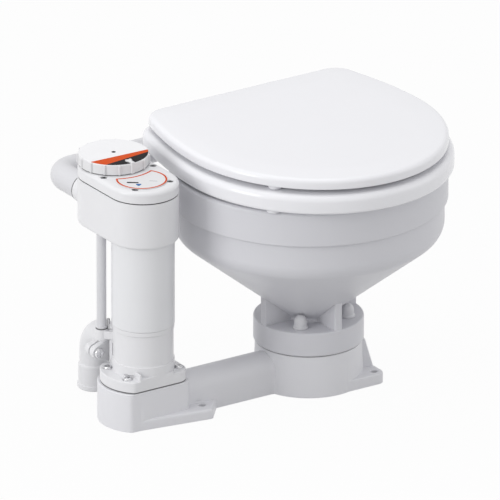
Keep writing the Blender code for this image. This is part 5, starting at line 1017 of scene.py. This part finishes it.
# A white disc with an orange band and a black edge segment in front
def labelPaint(s):
    made, shader, add = surfaceStart("knobPrint")
    place = objectPlace(add)
    local = add("ShaderNodeMapping", Vector=place, Location=(-pumpX, -knobY, 0))
    parts = add("ShaderNodeSeparateXYZ", Vector=local.outputs[0])
    colour = blend(add, noise(add, place, 40.0, 3.0), *s["fieldWhite"])
    for (start, slope), ink in ((s["orange"], "inkOrange"), (s["black"], "inkBlack")):
        level = add("ShaderNodeMath", {"operation": "MULTIPLY_ADD"}, _0=parts.outputs["X"], _1=-slope,
                    _2=parts.outputs["Y"])
        beyond = add("ShaderNodeMapRange", _0=level.outputs[0], _1=start + 0.0001, _2=start - 0.0001)
        colour = blend(add, beyond.outputs[0], colour, inks[ink])
    feed(shader, Base_Color=colour, Roughness=0.45, Specular_IOR_Level=0.08)
    return made


look["knobPrint"] = labelPaint(knob)


# A flat disc that stands a little above the knob's top
def topDisc(name, radius, rise, edge, paint, s, sides):
    high, low = s["top"] + rise, s["top"] - s["printSunk"]
    disc = turned(name, [(0, high), (radius, high, edge), (radius, low), (0, low)], paint,
                  at=(pumpX, knobY, 0), sides=sides, steps=2)
    finished(disc, "selector", slot="gloss_white")


def selectorKnob(s):
    at, radius, low, top = (pumpX, knobY, 0), s["radius"], s["low"], s["top"]
    inner, roof, outside = radius - s["wall"], top - s["roof"], radius + s["ribStand"]
    body = turned("selectorKnob", [(0, top), (radius, top, s["edge"]), (radius, low, 0.0004), (inner, low),
                                   (inner, roof), (0, roof)], "knobWhite", at=at, steps=5)
    grip = box("grip", (radius - reach, -s["ribHalf"], low), (outside, s["ribHalf"], top - s["ribDrop"]),
               s["ribEdge"])
    grips = copiesAround("grips", grip, s["ribs"], radians(s["ribAngle"]), at, "knobWhite")
    half, barb, barbAt, end = s["pointerHalf"], s["barbHalf"], s["barbAt"], s["pointerEnd"]
    oneSide = [(outside, half, 0.0006), (barbAt + s["barbLength"], half, 0.0010), (barbAt, barb, 0.0006),
               (end, barb * 0.8, 0.0006)]
    otherSide = [(x, -y, rounding) for x, y, rounding in reversed(oneSide)]
    plan = softened([otherSide[-1], *oneSide, (end + s["pointerNotch"], 0, 0.0010), *otherSide[:-1]],
                    closed=True, steps=4)
    placing = Matrix.Translation(at) @ Matrix.Rotation(radians(s["pointerAngle"]), 4, "Z")
    layers = roundedLayers(top - s["pointerSunk"], top + s["pointerRise"], 0, 0.0006, 3)
    pointer = slab("pointer", plan, layers, placing=placing)
    leg = box("leg", (radius - reach, -half, low), (outside, half, top + s["legRise"]), 0.0007,
              placing=placing)
    made = fuse(body, joins=[grips, pointer, leg])
    finished(made, "selector", "selector_knob", slot="gloss_white")
    # the thin dark ring under the knob is painted shadow for the gap between knob and cover
    sealAndShadowRing("knobWasher", s["shadowRingRadius"], inner, s["shadowRingLow"], low - s["shadowRingGap"], "selector", at)
    topDisc("knobLabel", s["labelRadius"], s["labelRise"], 0.0001, "knobPrint", s, ringSides)
    topDisc("knobScrew", s["screwRadius"], s["screwRise"], 0.0003, "inkBlack", s, 32)


selectorKnob(knob)
print("knob made")


# Supply pipe and inlet elbow behind the bowl
supply = {
    "height": 0.2610, "y": 0.2055, "bend": 0.0240, "radius": 0.0170, "bore": 0.0130, "start": 0.1424,
    "sealReach": (0.0012, 0.0005), "sealWidth": 0.0012,
    "elbowX": -0.0240, "elbowRadius": 0.0145, "elbowBend": 0.0130, "spigot": 0.0090, "wallY": 0.1745,
    "sealLength": 0.0060, "channelY": 0.1600,
}


def supplyPipe(s):
    y, z, radius, start = s["y"], s["height"], s["radius"], s["start"]
    corner = (pumpX, y, z, s["bend"])
    outer = pipe("supplyPipe", [(pumpX, start, z), corner, (s["elbowX"], y, z)], radius, "pipeWhite", 80)
    inner = pipe("inner", [(pumpX, start - over, z), corner, (s["elbowX"] + over, y, z)], s["bore"], None, 48)
    finished(fuse(outer, cuts=[inner]), "frame", "supply_pipe", slot="satin_white")
    (out, into), width = s["sealReach"], s["sealWidth"]
    sealAndShadowRing("pipeSeal", radius + out, radius - into, 0, width, "frame", (pumpX, start + width, z),
               (pi / 2, 0, 0))
    collar = s["wallY"] + s["sealLength"]
    joint = pipe("inletElbow", [(s["elbowX"] + gap, y, z), (0, y, z, s["elbowBend"]), (0, collar, z)],
                 s["elbowRadius"], "housingWhite")
    nose = rod("nose", s["spigot"], (0, s["channelY"], z), (0, collar + reach, z))
    finished(fuse(joint, joins=[nose]), "frame", "inlet_elbow", slot="gloss_white")


supplyPipe(supply)
print("supply pipe made")


# Seat ring, lid and hinges
seat = {
    "plan": {"halfWidth": 0.1750, "frontReach": 0.1900, "centreY": -0.0040, "backHalfWidth": 0.1560,
             "backY": 0.1600, "corner": 0.0280},
    "low": 0.2950, "top": 0.3200, "topRound": 0.0090, "lowRound": 0.0040, "points": 240,
    "holeHalfWidth": 0.1080, "holeFront": 0.1350, "holeBack": 0.1000, "innerRound": 0.0080,
    # the top's crown: its rise, and how far in from each edge it starts and ends
    "crown": 0.0008, "crownStart": 0.0060, "crownEnd": (0.0140, 0.0120), "crownMiddle": 0.0003,
    "bumperRadius": 0.0085, "bumperCircle": 0.1722, "bumperAngle": 222, "bumperLow": 0.2913,
}
lid = {
    "plan": {"halfWidth": 0.1700, "frontReach": 0.1908, "centreY": 0.0030, "backHalfWidth": 0.1520,
             "backY": 0.1540, "corner": 0.0300},
    "low": 0.3260, "top": 0.3410, "round": 0.0062, "foot": [(0.0014, 0), (0.0004, 0.0004), (0, 0.0014)],
    "borderDrop": 0.0014, "panelInset": 0.0420, "panelSteps": 8, "flat": (0.0200, 0.0500),
    "recessDepth": 0.0060, "recessBorder": 0.0225, "recessEdge": 0.0010, "bumperCircle": 0.1645,
}
hinge = {
    "x": 0.0700, "y": 0.1765, "z": 0.3155, "eyeRadius": 0.0090, "postWidth": 0.0160, "lugWidth": 0.0140,
    "lugEdge": 0.0012, "lugRoot": 0.0100, "holeHalf": 0.1400, "eyeEdge": 0.0010,
    "footRadius": 0.0110, "footHeight": 0.0040, "neckRadius": 0.0075, "rodRadius": 0.0035, "turnGap": 0.0006,
    "kneeRadius": 0.0043, "kneeY": 0.1710, "kneeZ": 0.3245,
    "nutRadius": 0.0080, "nutHeight": 0.0055, "nutEdge": 0.0005, "boltRadius": 0.0036, "boltDrop": 0.0032,
}


# A hinge lug: the hull of circles in the upright plane, across X
def lug(x, half, circles, edge):
    layers = roundedLayers(x - half, x + half, edge, edge, 3)
    return slab("lug", hullPlan(circles, 48, 120), layers, placing=acrossX)


# Circles in the back of a seat or lid that its lugs grow out of
def lugRoots(s, h):
    y = s["plan"]["backY"] - h["lugRoot"]
    return [(reach, y, s["low"] + 2 * reach), (reach, y, s["top"] - 2 * reach)]


def lugStep(h):
    return (h["postWidth"] + h["lugWidth"]) / 2 + h["turnGap"]


# Joins the lugs, cuts the hinge rod's hole, then adds the two bumpers below
def hung(board, lugs, h, body, node, circleRadius, low, high, radius, angle):
    hole = rod("rodHole", h["rodRadius"] + h["turnGap"], (-h["holeHalf"], h["y"], h["z"]),
               (h["holeHalf"], h["y"], h["z"]))
    finished(fuse(board, joins=lugs, cuts=[hole]), body, node, slot="gloss_white")
    bumper = turned("bumper", [(0, high), (radius * 1.05, high), (radius, low, 0.0016), (0, low)], sides=40,
                    steps=5)
    x, y = circleRadius * cos(radians(angle)), circleRadius * sin(radians(angle))
    places = [(x, y, 0), (-x, y, 0)]
    copiesFor(body + "_bumper", body + "Bumpers", bumper, places, "castWhite", "satin_white", body=body)


def seatRing(s, h):
    plan, count = s["plan"], s["points"]

    # The outline's points at equal turns about the hole's middle
    def aligned(outline):
        pairs = sorted((atan2(y - plan["centreY"], x) % (2 * pi), (x, y)) for x, y in outline)
        spaced = []
        for wanted in [2 * pi * i / count for i in range(count)]:
            k = next((n for n, (angle, _) in enumerate(pairs) if angle >= wanted), 0)
            (a0, p0), (a1, p1) = pairs[k - 1], pairs[k]
            part = ((wanted - a0) % (2 * pi)) / ((a1 - a0) % (2 * pi) or 1)
            spaced.append(tuple(Vector(p0).lerp(Vector(p1), part)))
        return spaced

    def outerAt(inset):
        return aligned(seatPlan(plan, inset))

    def innerAt(inset):
        turns = [2 * pi * i / 360 for i in range(360)]
        reaches = [s["holeBack"] if t < pi else s["holeFront"] for t in turns]
        return aligned([((s["holeHalfWidth"] + inset) * cos(t), plan["centreY"] + sin(t) * (away + inset))
                        for t, away in zip(turns, reaches)])

    low, top, big, inner = s["low"], s["top"], s["topRound"], s["innerRound"]
    edge, nearTop, (outerEnd, innerEnd) = top - s["crown"], top - s["crownMiddle"], s["crownEnd"]
    section = [(outerAt, *layer) for layer in roundedLayers(low, edge, s["lowRound"], big, 6)]
    section += [(outerAt, big + s["crownStart"], nearTop), (outerAt, big + outerEnd, top),
                (innerAt, inner + innerEnd, top), (innerAt, inner + s["crownStart"], nearTop)]
    section += [(innerAt, *layer) for layer in reversed(roundedLayers(low, edge, s["lowRound"], inner, 6))]
    ring = ringSlab("seatRing", section, "seatWhite")
    circles = [(h["eyeRadius"], h["y"], h["z"]), *lugRoots(s, h)]
    lugs = [lug(side * (h["x"] + lugStep(h)), h["lugWidth"] / 2, circles, h["lugEdge"]) for side in (-1, 1)]
    hung(ring, lugs, h, "seat", "seat_ring", s["bumperCircle"], s["bumperLow"], low + 0.001,
         s["bumperRadius"], s["bumperAngle"])


def lidPiece(s, seatSettings, h):
    plan, low, top, edge, inset = s["plan"], s["low"], s["top"], s["round"], s["panelInset"]
    rim = top - s["borderDrop"]
    layers = [(more, low + rise) for more, rise in s["foot"]] + roundedLayers(low, rim, 0, edge, 7)[1:]
    for t in [i / s["panelSteps"] for i in range(1, s["panelSteps"] + 1)]:
        layers.append((edge + (inset - edge) * t, rim + s["borderDrop"] * (1 - (1 - t) ** 2)))
    layers += [(inset + more, top) for more in s["flat"]]
    board = slab("lidBoard", lambda more: seatPlan(plan, more), layers, "seatWhite")
    depth, sharp = low + s["recessDepth"], s["recessEdge"]
    recess = slab("recess", lambda more: seatPlan(plan, s["recessBorder"] + more),
                  [(0, low - over), (0, depth - sharp), (sharp, depth)])
    board = fuse(board, cuts=[recess])
    half, roots, knee, lugs = h["lugWidth"] / 2, lugRoots(s, h), h["kneeRadius"], []
    eye = (h["eyeRadius"], h["y"], h["z"])
    for x in [side * (h["x"] - lugStep(h)) for side in (-1, 1)]:
        lugs.append(lug(x, half - gap, [(knee, h["kneeY"], h["kneeZ"]), *roots], h["lugEdge"]))
        lugs.append(lug(x, half, [eye, (knee + gap, h["kneeY"], h["kneeZ"])], h["lugEdge"]))
    hung(board, lugs, h, "lid", "lid", s["bumperCircle"], seatSettings["top"] + gap, low + 0.001,
         seatSettings["bumperRadius"], seatSettings["bumperAngle"])


def hinges(h, deckTop, deckThickness):
    half, y, z, edge = h["postWidth"] / 2, h["y"], h["z"], h["eyeEdge"]
    span = h["x"] + half + h["lugWidth"] + 2 * h["turnGap"]
    bar = rod("hingeRod", h["rodRadius"], (-span, y, z), (span, y, z), "stainless", 0.0006)
    finished(bar, "frame", "hinge_rod", slot="steel")
    low, neck, foot = deckTop + gap, h["neckRadius"], h["footRadius"]
    post = turned("post", [(0, z), (neck, z), (neck, low + h["footHeight"], 0.0020),
                           (foot, low + 0.0024, 0.0012), (foot, low, 0.0004), (0, low)], sides=64, steps=4)
    eye = slab("eye", circle(h["eyeRadius"], 64, 0, z), roundedLayers(-half, half, edge, edge, 3),
               placing=acrossX)
    hole = rod("hole", h["rodRadius"] + gap, (-half - over, 0, z), (half + over, 0, z))
    places = [(side * h["x"], y, 0) for side in (-1, 1)]
    post = fuse(post, joins=[eye], cuts=[hole])
    copiesFor("hinge_post", "hingePosts", post, places, "housingWhite", "gloss_white")
    top = deckTop - deckThickness - gap
    low, edge = top - h["nutHeight"], h["nutEdge"]
    hexagon = softened([(*corner, 0.0008) for corner in circle(h["nutRadius"], 6)], closed=True, steps=3)
    nut = slab("nut", hexagon, roundedLayers(low, top, edge, edge, 2))
    bolt = rod("bolt", h["boltRadius"], (0, 0, low - h["boltDrop"]), (0, 0, low + 0.001), edge=0.0005,
               sides=24)
    copiesFor("hinge_nut", "hingeNuts", fuse(nut, joins=[bolt]), places, "pipeWhite", "satin_white")


seatRing(seat, hinge)
lidPiece(lid, seat, hinge)
hinges(hinge, bowlShape["deckTop"], bowlShape["deckThickness"])
print("seat, lid and hinges made")


# CAD pieces that stay, each with its own finish
kept = {
    "stainless": [*numbered("bowl_stud", 4), "lower_bearing", "upper_bearing", "motor_shaft",
                  "chopper_blade"],
    "yokeIron": ["motor_yoke"],
    "windingCopper": ["brush_plate", "armature"],
    "ferriteBlack": numbered("field_magnet", 2),
    "blackRubber": ["joker_valve", "shaft_seal", "rinse_impeller"],
    "greyRubber": ["inlet_seal"],
    "pipeWhite": ["waste_impeller", "selector_spindle"],
}
for finish, names in kept.items():
    for name in names:
        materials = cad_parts[name].data.materials
        materials.clear()
        materials.append(look[finish])


# Floor, light and camera
studio = {
    "floorColour": (0.60, 0.60, 0.60), "floorHalf": 20, "floorDrop": -0.0004, "floorGlow": 0.96,
    "worldStrength": 0.72,
    # place, aim, size, power
    "lamps": {
        "keyLight": ((-2.4, 0.10, 1.1), (-0.06, 0.0, 0.15), 1.0, 19),
        "topLight": ((-0.3, 0.2, 2.6), (0.0, 0.0, 0.2), 1.6, 13),
        "rightLight": ((2.2, -1.2, 1.3), (0.0, 0.0, 0.2), 1.6, 6.3),
        "frontLight": ((-0.4, -2.4, 1.6), (0.0, 0.0, 0.2), 1.6, 1.8),
    },
}
view = {"azimuth": -33.2, "elevation": 22.1, "distance": 27.7778, "lens": 1600,
        "aim": (-0.0613, 0.0401, 0.1721), "clipEnd": 100}


# 1 for the kinds of ray that are named
def rayShare(add, *kinds):
    rays = add("ShaderNodeLightPath")
    share = rays.outputs[kinds[0]]
    for kind in kinds[1:]:
        share = add("ShaderNodeMath", {"operation": "MAXIMUM"}, _0=share, _1=rays.outputs[kind]).outputs[0]
    return share


# A white floor that glows evenly where the camera sees it, and takes part in the light as plain paint
def floorPiece(s):
    half = s["floorHalf"]
    mesh = bpy.data.meshes.new("floor")
    mesh.from_pydata([(-half, -half, 0), (half, -half, 0), (half, half, 0), (-half, half, 0)], [],
                     [(0, 1, 2, 3)])
    made, shader, add = surfaceStart("floorWhite")
    feed(shader, Base_Color=(*s["floorColour"], 1), Roughness=0.9, Specular_IOR_Level=0.1)
    seen = rayShare(add, "Is Camera Ray", "Is Glossy Ray", "Is Transmission Ray")
    share = add("ShaderNodeMath", {"operation": "MULTIPLY"}, _0=seen, _1=s["floorGlow"])
    glow = add("ShaderNodeEmission", Color=(1, 1, 1, 1), Strength=1.0)
    mixed = add("ShaderNodeMixShader", _0=share.outputs[0], _1=shader.outputs[0], _2=glow.outputs[0])
    feed(made.node_tree.nodes["Material Output"], Surface=mixed.outputs[0])
    mesh.materials.append(made)
    floor = showMesh("floor", mesh)
    floor.location.z = s["floorDrop"]


def turnedPiece(name, data, place, facing):
    piece = bpy.data.objects.new(name, data)
    piece.location = place
    piece.rotation_euler = facing.to_track_quat("-Z", "Y").to_euler()
    scene.collection.objects.link(piece)
    return piece


def areaLamp(name, place, aim, size, power):
    lamp = bpy.data.lights.new(name, "AREA")
    lamp.size, lamp.energy = size, power
    turnedPiece(name, lamp, place, Vector(aim) - Vector(place))


# The surroundings are white to the camera and weaker as light
def worldLight(s):
    world = bpy.data.worlds.new("studio")
    world.use_nodes = True
    scene.world = world
    add = nodeAdder(world.node_tree)
    seen = rayShare(add, "Is Camera Ray", "Is Transmission Ray")
    strength = add("ShaderNodeMapRange", _0=seen, _1=0.0, _2=1.0, _3=s["worldStrength"], _4=1.0)
    feed(world.node_tree.nodes["Background"], Color=(1, 1, 1, 1), Strength=strength.outputs[0])


def cameraPiece(v):
    azimuth, elevation = radians(v["azimuth"]), radians(v["elevation"])
    away = Vector((sin(azimuth) * cos(elevation), -cos(azimuth) * cos(elevation), sin(elevation)))
    data = bpy.data.cameras.new("camera")
    data.lens, data.clip_end = v["lens"], v["clipEnd"]
    scene.camera = turnedPiece("camera", data, Vector(v["aim"]) + away * v["distance"], -away)


floorPiece(studio)
for lampName, settings in studio["lamps"].items():
    areaLamp(lampName, *settings)
worldLight(studio)
cameraPiece(view)
scene.view_settings.view_transform = "Standard"
print("floor, light and camera made")
